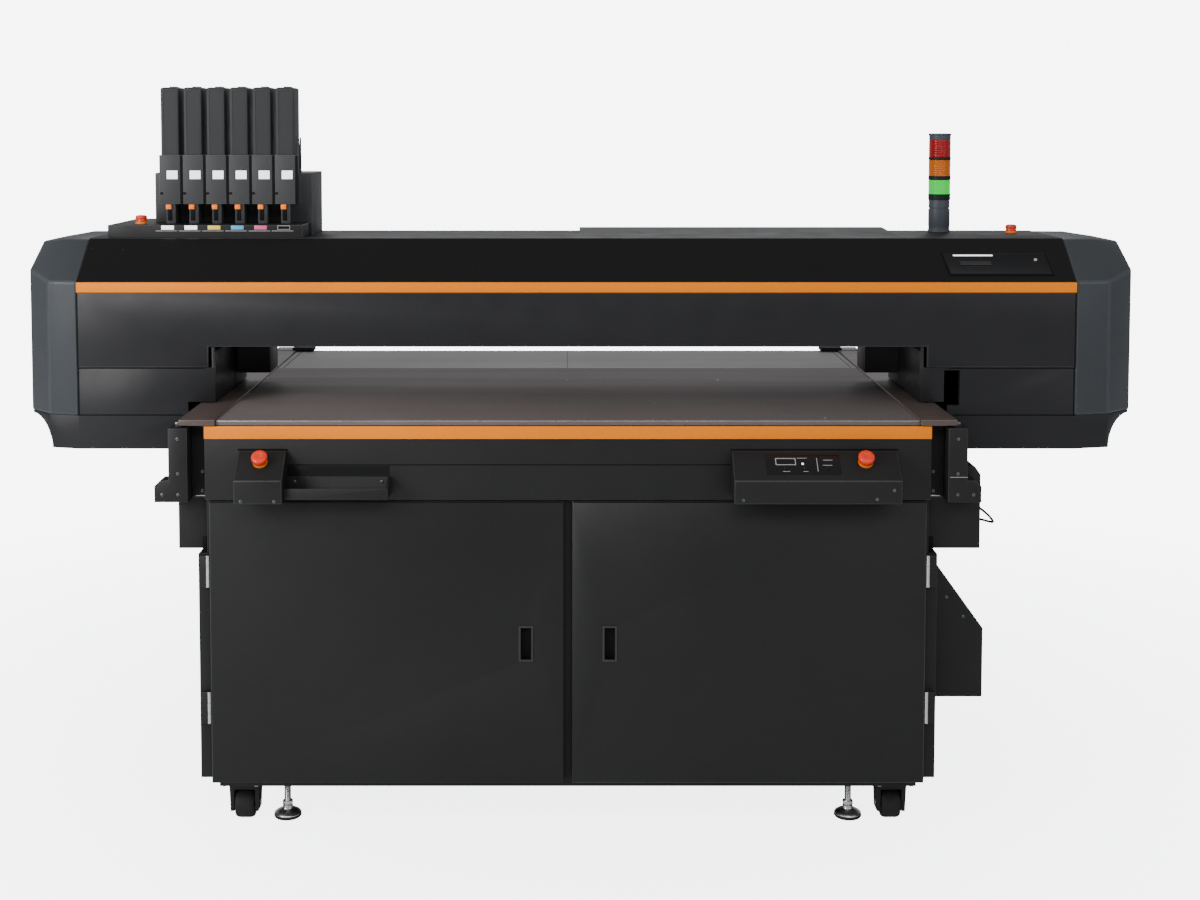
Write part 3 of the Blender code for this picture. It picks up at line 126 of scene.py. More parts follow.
def boxStart(name, low, high):
    freshStart()
    low, high = Vector(low), Vector(high)
    bpy.ops.mesh.primitive_cube_add(size=1.0, location=(low + high) / 2.0)
    piece = bpy.context.object
    piece.name = name
    piece.dimensions = high - low
    bpy.ops.object.transform_apply(location=True, rotation=True, scale=True)
    return piece


def flatBox(name, wide, tall, low, high):  # a box whose plan is centred on the origin
    return boxStart(name, (-wide / 2.0, -tall / 2.0, low), (wide / 2.0, tall / 2.0, high))


def stubStart(steps, radius, tall):  # a short round or six-sided bar, centred on the origin
    freshStart()
    bpy.ops.mesh.primitive_cylinder_add(vertices=steps, radius=radius, depth=tall)
    return bpy.context.object


def turnedStart(name, profile, steps=40):  # a profile of (radius, height) drawn point by point and spun about Z
    freshStart()
    bpy.ops.mesh.primitive_plane_add(size=0.01, location=(0.0, 0.0, 0.0))
    piece = bpy.context.object
    piece.name = name
    bpy.ops.object.mode_set(mode="EDIT")
    bpy.ops.mesh.select_mode(type="VERT")
    bpy.ops.mesh.select_all(action="SELECT")
    bpy.ops.mesh.merge(type="CENTER")
    bpy.ops.transform.translate(value=(profile[0][0], 0.0, profile[0][1]))
    for before, after in zip(profile, profile[1:]):
        step = (after[0] - before[0], 0.0, after[1] - before[1])
        bpy.ops.mesh.extrude_vertices_move(TRANSFORM_OT_translate={"value": step})
    bpy.ops.mesh.select_all(action="SELECT")
    bpy.ops.mesh.spin(steps=steps, angle=2.0 * math.pi, center=(0.0, 0.0, 0.0), axis=(0.0, 0.0, 1.0))
    bpy.ops.mesh.select_all(action="SELECT")
    bpy.ops.mesh.remove_doubles(threshold=0.00001)
    bpy.ops.mesh.normals_make_consistent(inside=False)
    bpy.ops.object.mode_set(mode="OBJECT")
    return piece


def ringStart(name, wide, tall, rim, thick, worn):  # a flat frame with an open middle
    freshStart()
    bpy.ops.mesh.primitive_plane_add(size=1.0, location=(0.0, 0.0, 0.0))
    piece = bpy.context.object
    piece.name = name
    piece.dimensions = (wide, tall, 0.0)
    bpy.ops.object.transform_apply(location=True, rotation=True, scale=True)
    pickFaces(piece, anyFace)
    bpy.ops.mesh.inset(thickness=rim)
    bpy.ops.mesh.delete(type="FACE")
    bpy.ops.object.mode_set(mode="OBJECT")
    applyModifier(piece, "SOLIDIFY", thickness=thick, offset=1.0)
    bevelEdges(piece, worn)
    return piece


def moveMesh(piece, matrix):  # the object stays at the origin and its mesh is put in place
    piece.data.transform(matrix)
    piece.data.update()
    return piece


def facing(direction):  # turns +Z towards a direction
    return Vector((0.0, 0.0, 1.0)).rotation_difference(Vector(direction)).to_matrix().to_4x4()


def axesAt(across, up, off, spot):
    rows = [(*row, place) for row, place in zip(zip(across, up, off), spot)]
    return Matrix(rows + [(0.0, 0.0, 0.0, 1.0)])


def turnedTo(out, point):  # Z off an upright sheet, Y up
    up = Vector((0.0, 0.0, 1.0))
    return axesAt(up.cross(Vector(out)), up, Vector(out), point)


def onSlope(origin, up, x, along, lift=0.0):  # X runs sideways, Y up the slope and Z off it
    up = Vector(up).normalized()
    across = Vector((1.0, 0.0, 0.0))
    off = across.cross(up)
    spot = Vector(origin) + up * along + off * lift
    spot.x = x
    return axesAt(across, up, off, spot)


def onFront(x, y, z):  # the same for an upright face that looks to the front
    return onSlope((0.0, y, z), (0.0, 0.0, 1.0), x, 0.0)


def copyTo(master, name, matrix):
    twin = bpy.data.objects.new(name, master.data.copy())
    bpy.context.scene.collection.objects.link(twin)
    twin.data.transform(matrix)
    return twin


def joinPieces(pieces, name):
    freshStart()
    for piece in pieces:
        piece.select_set(True)
    bpy.context.view_layer.objects.active = pieces[0]
    if len(pieces) > 1:
        bpy.ops.object.join()
    joined = bpy.context.view_layer.objects.active
    joined.name = name
    return joined


def dress(piece, finishName, edgeName=None):
    piece.data.materials.clear()
    for name in (finishName, edgeName):
        if name in finishes:
            piece.data.materials.append(finishes[name])


def polish(piece, finishName, matrix=Matrix(), angle=32.0):
    dress(piece, finishName)
    smoothByAngle(piece, angle)
    return moveMesh(piece, matrix)


def belong(piece, body):
    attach(piece, body)
    return piece


def standFor(piece, nodeName):  # the piece takes the place of a CAD node
    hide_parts(nodeName)
    belong(piece, bodyOf[nodeName])


def joinOn(pieces, name, body):
    return belong(joinPieces(pieces, name), body)


# camera and stage
cameraSettings = {
    "lens": 51.0, "height": 1.7729, "back": 4.1451, "aside": -0.0071,
    "pitch": 3.5, "shiftX": 0.02917, "shiftY": -0.18585,
}
cameraData = bpy.data.cameras.new("camera")
cameraData.sensor_width = 36.0
cameraData.lens = cameraSettings["lens"]
cameraData.shift_x = cameraSettings["shiftX"]
cameraData.shift_y = cameraSettings["shiftY"]
camera = bpy.data.objects.new("camera", cameraData)
camera.location = (tableMid + cameraSettings["aside"], tableFront - cameraSettings["back"], cameraSettings["height"])
camera.rotation_euler = (math.radians(90.0 - cameraSettings["pitch"]), 0.0, 0.0)
bpy.context.scene.collection.objects.link(camera)
bpy.context.scene.camera = camera

freshStart()
bpy.ops.mesh.primitive_plane_add(size=30.0, location=(0.0, 0.0, 0.0))
floor = bpy.context.object
floor.name = "floor"
print("camera and floor stand")


# materials: one recipe that all the finishes below are mixed from
def addNode(tree, kind, **values):
    node = tree.nodes.new(kind)
    for key, value in values.items():
        setattr(node, key, value)
    return node


def noiseFrom(tree, vector, scale, detail=4.0):
    node = addNode(tree, "ShaderNodeTexNoise")
    node.inputs["Scale"].default_value = scale
    node.inputs["Detail"].default_value = detail
    node.inputs["Roughness"].default_value = 0.55
    tree.links.new(vector, node.inputs["Vector"])
    return node.outputs["Fac"]


def rangeFrom(tree, value, low, high, fromLow=0.3, fromHigh=0.7):
    node = addNode(tree, "ShaderNodeMapRange")
    for socket, number in (("From Min", fromLow), ("From Max", fromHigh), ("To Min", low), ("To Max", high)):
        node.inputs[socket].default_value = number
    tree.links.new(value, node.inputs["Value"])
    return node.outputs["Result"]


def mixColours(tree, factor, first, second):
    node = addNode(tree, "ShaderNodeMix", data_type="RGBA")
    for socket, value in ((node.inputs[6], first), (node.inputs[7], second)):
        if hasattr(value, "links"):
            tree.links.new(value, socket)
        else:
            socket.default_value = (*value, 1.0)
    tree.links.new(factor, node.inputs[0])
    return node.outputs[2]


def makeFinish(name, look):
    material = bpy.data.materials.new(name)
    material.use_nodes = True
    tree = material.node_tree
    shader = tree.nodes["Principled BSDF"]
    coords = addNode(tree, "ShaderNodeTexCoord").outputs["Object"]
    stretch = addNode(tree, "ShaderNodeMapping")
    stretch.inputs["Scale"].default_value = look.get("stretch", (1.0, 1.0, 1.0))
    tree.links.new(coords, stretch.inputs["Vector"])
    grain = stretch.outputs["Vector"]
    colour = look["colour"]
    vary = look.get("vary", 0.1)
    lighter = tuple(min(1.0, part * (1.0 + vary)) for part in colour)
    darker = tuple(part * (1.0 - vary) for part in colour)
    cloud = noiseFrom(tree, coords, 2.5, 3.0)
    speck = noiseFrom(tree, grain, look.get("speck", 450.0), 2.0)
    base = mixColours(tree, rangeFrom(tree, cloud, 0.0, 1.0), darker, lighter)
    speckTone = tuple(min(1.0, part * (1.0 + look.get("speckLift", 0.35)) + 0.002) for part in colour)
    mask = rangeFrom(tree, speck, 0.0, look.get("speckShare", 0.5), 0.5, 0.75)
    tree.links.new(mixColours(tree, mask, base, speckTone), shader.inputs["Base Color"])
    low, high = look["rough"]
    tree.links.new(rangeFrom(tree, noiseFrom(tree, grain, 14.0, 5.0), low, high), shader.inputs["Roughness"])
    bump = addNode(tree, "ShaderNodeBump")
    bump.inputs["Strength"].default_value = look.get("bump", 0.25)
    bump.inputs["Distance"].default_value = 0.0002
    tree.links.new(noiseFrom(tree, grain, look.get("peel", 260.0), 3.0), bump.inputs["Height"])
    tree.links.new(bump.outputs["Normal"], shader.inputs["Normal"])
    shader.inputs["Metallic"].default_value = look.get("metal", 0.0)
    shader.inputs["Specular IOR Level"].default_value = look.get("specular", 0.5)
    shader.inputs["Coat Weight"].default_value = look.get("coat", 0.0)
    shader.inputs["Coat Roughness"].default_value = 0.1
    if "glow" in look:
        shader.inputs["Emission Color"].default_value = (*colour, 1.0)
        shader.inputs["Emission Strength"].default_value = look["glow"]
    material.diffuse_color = (*colour, 1.0)
    return material


# painted highlight: each ...Edge finish is a lighter copy of its panel's colour, laid on the bevels to stand in for
# light caught along the rounded edges
edgeHighlight = {"rough": (0.3, 0.44), "speck": 160.0, "speckShare": 0.8}
brushed = {"stretch": (0.05, 1.0, 1.0), "speck": 900.0, "peel": 700.0, "bump": 0.12}
steel = {"metal": 1.0, "speck": 300.0, "bump": 0.1}
inkCase = {"rough": (0.42, 0.54), "speck": 380.0, "peel": 220.0}
lens = {"rough": (0.16, 0.26), "coat": 0.15, "bump": 0.05, "specular": 0.3}
# painted light: the coloured tags carry a faint glow of their own colour, though they give no light
tagInkAndGlow = {"rough": (0.36, 0.48), "vary": 0.04, "glow": 0.15}
looks = {
    "blackPaint": {"colour": (0.013, 0.013, 0.0134), "rough": (0.42, 0.54), "speck": 500.0, "peel": 300.0, "specular": 0.22},
    "blackPaintEdge": edgeHighlight | {"colour": (0.03, 0.03, 0.031), "specular": 0.3},
    "darkCover": {"colour": (0.0135, 0.0135, 0.0148), "rough": (0.34, 0.44), "speck": 600.0, "peel": 340.0, "specular": 0.26},
    "darkCoverEdge": edgeHighlight | {"colour": (0.036, 0.036, 0.039), "rough": (0.26, 0.4), "specular": 0.35},
    "glossFascia": {"colour": (0.0045, 0.0042, 0.0043), "rough": (0.1, 0.18), "speck": 700.0, "bump": 0.05, "specular": 0.22},
    "glossFasciaEdge": {"colour": (0.02, 0.019, 0.019), "rough": (0.15, 0.28), "bump": 0.08, "specular": 0.4},
    "slateCap": {"colour": (0.038, 0.0425, 0.047), "rough": (0.36, 0.48), "speck": 420.0, "peel": 240.0, "specular": 0.22},
    "slateCapEdge": edgeHighlight | {"colour": (0.047, 0.053, 0.059), "speck": 150.0, "specular": 0.25},
    "bedCoat": brushed | {"colour": (0.135, 0.116, 0.112), "rough": (0.46, 0.58), "metal": 0.08, "specular": 0.08},
    "bedCoatEdge": {"colour": (0.42, 0.415, 0.41), "rough": (0.22, 0.34), "metal": 0.9, "speckLift": 0.1},
    "deckPlate": brushed | {"colour": (0.21, 0.205, 0.207), "rough": (0.4, 0.52), "metal": 0.2, "specular": 0.2},
    "coverCoat": {"colour": (0.098, 0.074, 0.067), "rough": (0.3, 0.42), "metal": 0.2, "speck": 600.0, "specular": 0.3},
    "coverCoatEdge": {"colour": (0.105, 0.08, 0.073), "rough": (0.24, 0.36), "metal": 0.3, "speck": 160.0},
    "orangeStrip": {"colour": (0.88, 0.228, 0.001), "rough": (0.4, 0.52), "vary": 0.05, "speckLift": 0.1, "bump": 0.1, "specular": 0.12},
    "darkScrew": {"colour": (0.15, 0.15, 0.152), "rough": (0.3, 0.44), "metal": 0.8, "speck": 500.0, "bump": 0.1},
    "railSteel": steel | {"colour": (0.2, 0.2, 0.205), "rough": (0.28, 0.42), "stretch": (1.0, 12.0, 1.0)},
    "brightSteel": steel | {"colour": (0.62, 0.62, 0.61), "rough": (0.2, 0.36), "stretch": (1.0, 1.0, 12.0)},
    "blackRubber": {"colour": (0.013, 0.013, 0.0135), "rough": (0.62, 0.78), "speck": 260.0, "peel": 180.0, "bump": 0.4, "specular": 0.22},
    "redButton": {"colour": (0.8, 0.04, 0.012), "rough": (0.28, 0.4), "vary": 0.06, "coat": 0.15, "specular": 0.3},
    "yellowCollar": {"colour": (0.72, 0.21, 0.002), "rough": (0.34, 0.46), "vary": 0.06, "specular": 0.25},
    "greyTop": {"colour": (0.0165, 0.0172, 0.0184), "rough": (0.38, 0.5), "speck": 500.0, "specular": 0.12},
    "greyTopEdge": edgeHighlight | {"colour": (0.08, 0.082, 0.086), "specular": 0.35},
    "inkShell": inkCase | {"colour": (0.029, 0.03, 0.032), "specular": 0.24},
    "inkHousing": inkCase | {"colour": (0.044, 0.045, 0.047), "specular": 0.25},
    "inkHousingEdge": {"colour": (0.085, 0.086, 0.09), "rough": (0.34, 0.46), "speck": 160.0, "specular": 0.35},
    "lensRed": lens | {"colour": (0.33, 0.003, 0.005)},
    "lensAmber": lens | {"colour": (0.56, 0.125, 0.001)},
    "lensGreen": lens | {"colour": (0.001, 0.3, 0.022), "glow": 2.0},
    "towerGrey": {"colour": (0.058, 0.066, 0.079), "rough": (0.38, 0.5), "speck": 420.0, "specular": 0.35},
    "cableBlack": {"colour": (0.018, 0.018, 0.018), "rough": (0.5, 0.64), "speck": 500.0},
    "panelGlass": {"colour": (0.0075, 0.0075, 0.008), "rough": (0.14, 0.22), "speck": 800.0, "bump": 0.02, "specular": 0.25},
    "displayGrey": {"colour": (0.024, 0.024, 0.025), "rough": (0.22, 0.32), "speck": 700.0, "bump": 0.02, "specular": 0.3},
    "markGrey": {"colour": (0.38, 0.38, 0.38), "rough": (0.36, 0.48), "vary": 0.04, "bump": 0.05},
    "deepBlack": {"colour": (0.004, 0.004, 0.0042), "rough": (0.6, 0.76), "specular": 0.12, "speck": 300.0},
    # painted light: the orange latches glow faintly, though they are no lamps
    "latchOrange": {"colour": (1.0, 0.22, 0.01), "rough": (0.3, 0.42), "vary": 0.06, "specular": 0.3, "glow": 0.3},
    "inkYellow": tagInkAndGlow | {"colour": (0.9, 0.62, 0.03)},
    "inkCyan": tagInkAndGlow | {"colour": (0.02, 0.38, 0.7)},
    "inkMagenta": tagInkAndGlow | {"colour": (0.76, 0.05, 0.26)},
    # painted light: labelWhite glows, so the printed labels and tags, which give no light, look brightly lit; the
    # panel's white bar and the console lamp use it too
    "labelWhite": {"colour": (0.9, 0.9, 0.89), "rough": (0.42, 0.56), "vary": 0.03, "speckLift": -0.05, "glow": 1.6},
    "floorPale": {"colour": (0.88, 0.885, 0.9), "rough": (0.55, 0.7), "vary": 0.01, "speckLift": 0.0, "bump": 0.02},
}
finishes = {name: makeFinish(name, look) for name, look in looks.items()}
dress(floor, "floorPale")
fadeSettings = {"near": 0.8, "far": 4.0, "glowNear": 4.6, "glowFar": 7.3, "tint": (0.93, 0.94, 0.99, 1.0)}
floorTree = floor.data.materials[0].node_tree  # the floor brightens into the backdrop away from the machine
floorShader = floorTree.nodes["Principled BSDF"]
reach = addNode(floorTree, "ShaderNodeVectorMath", operation="LENGTH")
floorTree.links.new(addNode(floorTree, "ShaderNodeTexCoord").outputs["Object"], reach.inputs[0])
fade = rangeFrom(floorTree, reach.outputs["Value"], *(fadeSettings[key] for key in ("glowNear", "glowFar", "near", "far")))
glowing = addNode(floorTree, "ShaderNodeMath", operation="MULTIPLY")
floorTree.links.new(fade, glowing.inputs[0])
floorTree.links.new(addNode(floorTree, "ShaderNodeLightPath").outputs["Is Camera Ray"], glowing.inputs[1])
floorTree.links.new(glowing.outputs[0], floorShader.inputs["Emission Strength"])
floorShader.inputs["Emission Color"].default_value = fadeSettings["tint"]
print("finishes mixed:", len(finishes))

# the cable loop on the right: the same route as in the CAD, out of the chain cover and back in
cableSettings = {
    "radius": 0.0031,
    "route": (
        (0.1, 0.8068, 0.0), (0.1, 0.8068, 0.005), (0.103, 0.799, 0.017), (0.111, 0.78, 0.039),
        (0.126, 0.761, 0.054), (0.144, 0.757, 0.048), (0.16, 0.76, 0.026), (0.166, 0.762, 0.005),
        (0.166, 0.762, 0.0),
    ),
}


def smoothRoute(points, steps):  # a curve through the points
    padded = [points[0]] + list(points) + [points[-1]]
    result = []
    for number in range(len(padded) - 3):
        before, start, end, after = (Vector(spot) for spot in padded[number:number + 4])
        bend = 2.0 * before - 5.0 * start + 4.0 * end - after
        twist = 3.0 * start - before - 3.0 * end + after
        for step in range(steps):
            t = step / steps
            result.append(0.5 * (2.0 * start + (end - before) * t + bend * t * t + twist * t * t * t))
    result.append(Vector(points[-1]))
    return result


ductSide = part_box("duct_right")[1].x + 0.0003
route = [(ductSide + out, tableFront + inward, up) for inward, up, out in cableSettings["route"]]
spots = [Vector(route[0])] + smoothRoute(route[1:-1], 4) + [Vector(route[-1])]
cableCurve = bpy.data.curves.new("loopCable", "CURVE")
cableCurve.dimensions = "3D"
cableCurve.bevel_depth = cableSettings["radius"]
cableCurve.bevel_resolution = 4
cableCurve.use_fill_caps = True
cableSpline = cableCurve.splines.new("POLY")
cableSpline.points.add(len(spots) - 1)
for point, spot in zip(cableSpline.points, spots):
    point.co = (*spot, 1.0)
cableCurve.materials.append(finishes["cableBlack"])
loopCable = bpy.data.objects.new("loopCable", cableCurve)
bpy.context.scene.collection.objects.link(loopCable)
standFor(loopCable, "loop_cable")

# CAD nodes whose shape is right get rounded edges on a merged copy, the bevels in a lighter edge finish that is a
# painted highlight along each edge; a star stands for left and right
softened = (
    ("blackPaint", "black_paint", {
        "cabinet": 0.0015, "door_*": 0.0022, "table_frame": 0.0018, "table_fascia": 0.0014, "rail_end_*": 0.0013,
        "duct_*": 0.0016, "console_*": 0.0022, "tool_shelf": 0.0007, "side_pocket": 0.0009,
        "caster_fork_front_*": 0.0014, "caster_fork_rear_*": 0.0014,
    }),
    ("darkCover", "dark_cover", {"front_cover": 0.003, "leg_*": 0.0018}),
    ("blackPaint", "black_paint", {"bridge_girder": 0.001}),
    ("glossFascia", "gloss_fascia", {"upper_fascia": 0.0012}),
    ("greyTop", "grey_top", {"top_cover": 0.0018}),
    ("slateCap", "slate_cap", {"end_cap_*": 0.006}),
    ("greyTop", "grey_top", {"print_carriage": 0.003, "print_head": 0.006}),
    ("bedCoat", "bed_coat", {"bed_plate": 0.0012}),
    ("deckPlate", "deck_plate", {"rear_deck": 0.0008}),
    ("coverCoat", "side_cover_coat", {"side_cover_*": 0.0025}),
    ("orangeStrip", "orange_strip", {"table_strip": 0.0009, "bridge_strip": 0.0012}),
    ("railSteel", "bright_steel", {"rail_*": 0.0012}),
    ("blackPaint", "black_paint", {"ink_tray": 0.002}),
    ("inkHousing", "black_paint", {"ink_rack": 0.0012}),
)


def softenNode(nodeName, finishName, width):
    piece = bpy.data.objects.new(nodeName + "Shell", cadNodes[nodeName].data.copy())
    bpy.context.scene.collection.objects.link(piece)
    makeActive(piece)
    dress(piece, finishName, finishName + "Edge")
    bpy.ops.object.mode_set(mode="EDIT")
    bpy.ops.mesh.select_all(action="SELECT")
    bpy.ops.mesh.remove_doubles(threshold=0.00002)
    bpy.ops.mesh.dissolve_limited(angle_limit=math.radians(0.5))
    bpy.ops.object.mode_set(mode="OBJECT")
    for face in piece.data.polygons:
        face.material_index = 0
    bevelEdges(piece, width, 3 if width > 0.0019 else 2, 25.0, 1 if finishName + "Edge" in finishes else -1)
    smoothByAngle(piece)
    standFor(piece, nodeName)


for finishName, slotName, widths in softened:
    for pattern, width in widths.items():
        for word in ("left", "right") if "*" in pattern else ("",):
            softenNode(pattern.replace("*", word), finishName, width)
print("shells rounded")

# screws: one socket-headed screw, copied wherever the panels are held
screwSettings = {"radius": 0.0038, "tall": 0.0024, "rim": 0.0007, "fall": 0.0004, "socket": 0.0017, "depth": 0.0016}
screwMaster = stubStart(12, screwSettings["radius"], screwSettings["tall"])
insetFaces(screwMaster, looksUp, screwSettings["rim"], screwSettings["fall"])
flatRim = screwSettings["radius"] - screwSettings["rim"] - screwSettings["socket"]
insetFaces(screwMaster, looksUp, flatRim, push=(0.0, 0.0, -screwSettings["depth"]))
polish(screwMaster, "darkScrew")


def screwsAt(name, body, places):  # places are (point, direction) pairs
    twins = [copyTo(screwMaster, "screw", shift(Vector(point)) @ facing(direction)) for point, direction in places]
    return joinOn(twins, name, body)


consoleLeftLow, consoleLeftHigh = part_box("console_left")
consoleRightLow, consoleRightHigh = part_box("console_right")
pocketLow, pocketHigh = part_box("side_pocket")
shelfLow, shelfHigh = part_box("tool_shelf")
frameLow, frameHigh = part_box("table_frame")
baseScrews = [
    ((consoleLeftLow.x + 0.0172, consoleLeftLow.y, consoleLeftLow.z + 0.007), front),
    ((consoleLeftHigh.x - 0.0186, consoleLeftLow.y, consoleLeftLow.z + 0.007), front),
    ((consoleRightLow.x + 0.0222, consoleRightLow.y, consoleRightLow.z + 0.01), front),
    ((consoleRightHigh.x - 0.0612, consoleRightLow.y, consoleRightLow.z + 0.012), front),
    ((consoleRightHigh.x - 0.0198, consoleRightLow.y, consoleRightLow.z + 0.034), front),
    ((shelfHigh.x - 0.0204, shelfHigh.y - 0.0033, shelfHigh.z - 0.0125), front),
    ((shelfLow.x + 0.0204, shelfHigh.y - 0.0033, shelfHigh.z - 0.0125), front),
    ((pocketLow.x + 0.046, pocketLow.y, pocketHigh.z - 0.095), front),
    ((pocketLow.x + 0.089, pocketLow.y, pocketHigh.z - 0.145), front),
]
for side, word in sides:
    endLow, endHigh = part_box("rail_end_" + word)
    outerX, innerX = (endHigh.x, endLow.x) if side > 0 else (endLow.x, endHigh.x)
    wallX, outward = (frameHigh.x, rightward) if side > 0 else (frameLow.x, leftward)
    for inward, up in ((0.0585, 0.157), (0.0585, 0.071), (0.0195, 0.019), (0.0585, 0.019)):
        baseScrews.append(((outerX - side * inward, endLow.y, endLow.z + up), front))
    for up in (0.0634, 0.0155):
        baseScrews.append(((innerX - side * 0.0245, frameLow.y, frameLow.z + up), front))
    for depth in (0.3, 0.62, 0.94, 1.26):
        baseScrews.append(((wallX, frameLow.y + depth, frameHigh.z - 0.03), outward))
screwsAt("baseScrews", "base", baseScrews)
print("screws set:", len(baseScrews))

# stop buttons: a mushroom head that is pressed, on a yellow collar that stays
stopSettings = {
    "base": {"neck": 0.8, "collar": 0.9, "short": 0.0035},
    "bridge": {"neck": 0.94, "collar": 1.02, "short": 0.0},
    "grip": 0.34, "slack": 0.018, "lift": 0.0058, "sunk": 0.0059,
}


def spanAlong(nodeName, axis):  # middle of a turned node on its axis, and how far it reaches along it
    points = [vertex.co for vertex in cadNodes[nodeName].data.vertices]
    heights = [point.dot(axis) for point in points]
    middle = sum(points, Vector()) / len(points)
    middle = middle - axis * middle.dot(axis)
    reach = max((point - middle - axis * point.dot(axis)).length for point in points)
    return middle, min(heights), max(heights), reach


jointAxis = {joint["child"]: -Vector(joint["axis"]).normalized() for joint in frame["joints"]}
collars = {"base": [], "bridge": []}
for nodeName in ("console_stop_left", "console_stop_right", "bridge_stop_left", "bridge_stop_right"):
    axis = jointAxis[bodyOf[nodeName]]
    middle, low, high, radius = spanAlong(nodeName, axis)
    standsOn = "base" if nodeName.startswith("console") else "bridge"
    shares = stopSettings[standsOn]
    tall = high - low - shares["short"]
    grip = tall * stopSettings["grip"]
    neck = radius * shares["neck"]
    head = turnedStart(nodeName + "Head", (
        (0.0, 0.0), (neck, 0.0), (neck, grip), (radius * 0.93, grip + 0.0006), (radius, grip + 0.0024),
        (radius, tall - 0.0052), (radius * 0.93, tall - 0.0024), (radius * 0.74, tall - 0.0006),
        (radius * 0.45, tall), (radius * 0.4, tall - 0.0007), (0.0, tall - 0.0009),
    ), 48)
    polish(head, "redButton", shift(middle + axis * low) @ facing(axis), 40.0)
    standFor(head, nodeName)
    wide = radius * shares["collar"]
    bore = radius * (shares["neck"] + stopSettings["slack"])  # the neck sinks into the collar when pressed
    lift = stopSettings["lift"]
    collar = turnedStart(nodeName + "Collar", (
        (bore, 0.0), (wide, 0.0), (wide, lift - 0.001), (wide - 0.0005, lift), (bore + 0.0003, lift),
        (bore, lift - 0.0006), (bore, 0.0),
    ))
    stand = shift(middle + axis * (low - stopSettings["sunk"])) @ facing(axis)
    collars[standsOn].append(polish(collar, "yellowCollar", stand))
for bodyName, rings in collars.items():
    joinOn(rings, bodyName + "Collars", bodyName)
print("stop buttons made")


# thin plates, sunk inside an inset edge where rim is given, for labels, displays, pads and covers
def plateOn(name, size, thick, finishName, matrix, worn=0.001, rim=0.0, rise=None):
    piece = flatBox(name, *size, 0.0, thick)
    if rim > 0.0:
        insetFaces(piece, looksUp, rim, push=(0.0, 0.0, -thick * 0.45 if rise is None else rise))
    bevelEdges(piece, min(worn, thick * 0.45))
    return polish(piece, finishName, matrix)


def plainBox(name, finishName, low, high, worn, segments=1):
    piece = boxStart(name, low, high)
    bevelEdges(piece, worn, segments)
    dress(piece, finishName)
    return piece


# operation panel on the sloping fascia
fasciaLow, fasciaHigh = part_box("upper_fascia")
slopeUp = (0.0, fasciaHigh.y - fasciaLow.y, fasciaHigh.z - fasciaLow.z)
slopeFoot = (0.0, fasciaLow.y, fasciaLow.z)
panelSettings = {"left": 0.3225, "wide": 0.266, "low": 0.0275, "tall": 0.0815, "lean": 0.0085, "thick": 0.0022}
panelLeft = fasciaHigh.x - panelSettings["left"]


def onPanel(across, along, lift=0.0014):
    return onSlope(slopeFoot, slopeUp, panelLeft + across, along, lift)


def leaningBox(name, spare, thick):  # the panel's outline, whose upper edge leans to the left
    piece = flatBox(name, panelSettings["wide"] + 2.0 * spare, panelSettings["tall"] + 2.0 * spare, 0.0, thick)
    pickFaces(piece, lambda face: face.normal.y > 0.9)
    bpy.ops.transform.translate(value=(-panelSettings["lean"], 0.0, 0.0))
    bpy.ops.object.mode_set(mode="OBJECT")
    return piece


panelPlace = onPanel(panelSettings["wide"] / 2.0, panelSettings["low"] + panelSettings["tall"] / 2.0, 0.0)
panel = leaningBox("operationPanel", 0.0, panelSettings["thick"])
insetFaces(panel, looksUp, 0.0035, push=(0.0, 0.0, -0.0008))
bevelEdges(panel, 0.0006)
belong(polish(panel, "panelGlass", panelPlace), "bridge")
lightBar = plateOn("panelLightBar", (0.104, 0.0044), 0.0016, "labelWhite", onPanel(0.07, 0.0992))
display = plateOn("panelDisplay", (0.082, 0.015), 0.0014, "displayGrey", onPanel(0.0725, 0.0692), rim=0.0012)
knob = turnedStart("panelKnob", (
    (0.0, 0.0), (0.0044, 0.0), (0.0044, 0.0022), (0.0036, 0.003), (0.0024, 0.0032), (0.002, 0.0026), (0.0, 0.0026),
), 32)
polish(knob, "markGrey", onPanel(0.2318, 0.0824))
ledges = []
for number in range(2):
    place = onPanel(0.0725, 0.057 - 0.0075 * number)
    ledges.append(plateOn("panelLedge" + str(number), (0.076, 0.0014), 0.0008, "displayGrey", place))
panelRim = leaningBox("panelRim", 0.004, 0.0008)
dress(panelRim, "deepBlack")
moveMesh(panelRim, panelPlace)
for piece in [lightBar, display, knob, panelRim] + ledges:
    belong(piece, "bridge")
slopeSpots = [onSlope(slopeFoot, slopeUp, fasciaLow.x + across, along) for across, along in ((0.018, 0.126), (0.101, 0.122))]
bridgeScrews = screwsAt("bridgeScrews", "bridge", [(spot.translation, spot.col[2][:3]) for spot in slopeSpots])
bridgeScrews.data.materials[0] = finishes["greyTop"]
bpy.data.objects.remove(screwMaster)
print("operation panel made")

# controls on the right console's sloping face
padSettings = {"wide": 0.181, "tall": 0.061, "along": 0.0505, "left": 0.0806}
consoleBrow = Vector((0.0, consoleRightLow.y, consoleRightHigh.z - 0.06))
consoleUp = Vector((0.0, consoleRightHigh.y + 0.0003 - 0.006, consoleRightHigh.z)) - consoleBrow


def onConsole(fromPad, along, lift=0.0008):
    return onSlope(consoleBrow, consoleUp, consoleRightLow.x + padSettings["left"] + fromPad, along, lift)


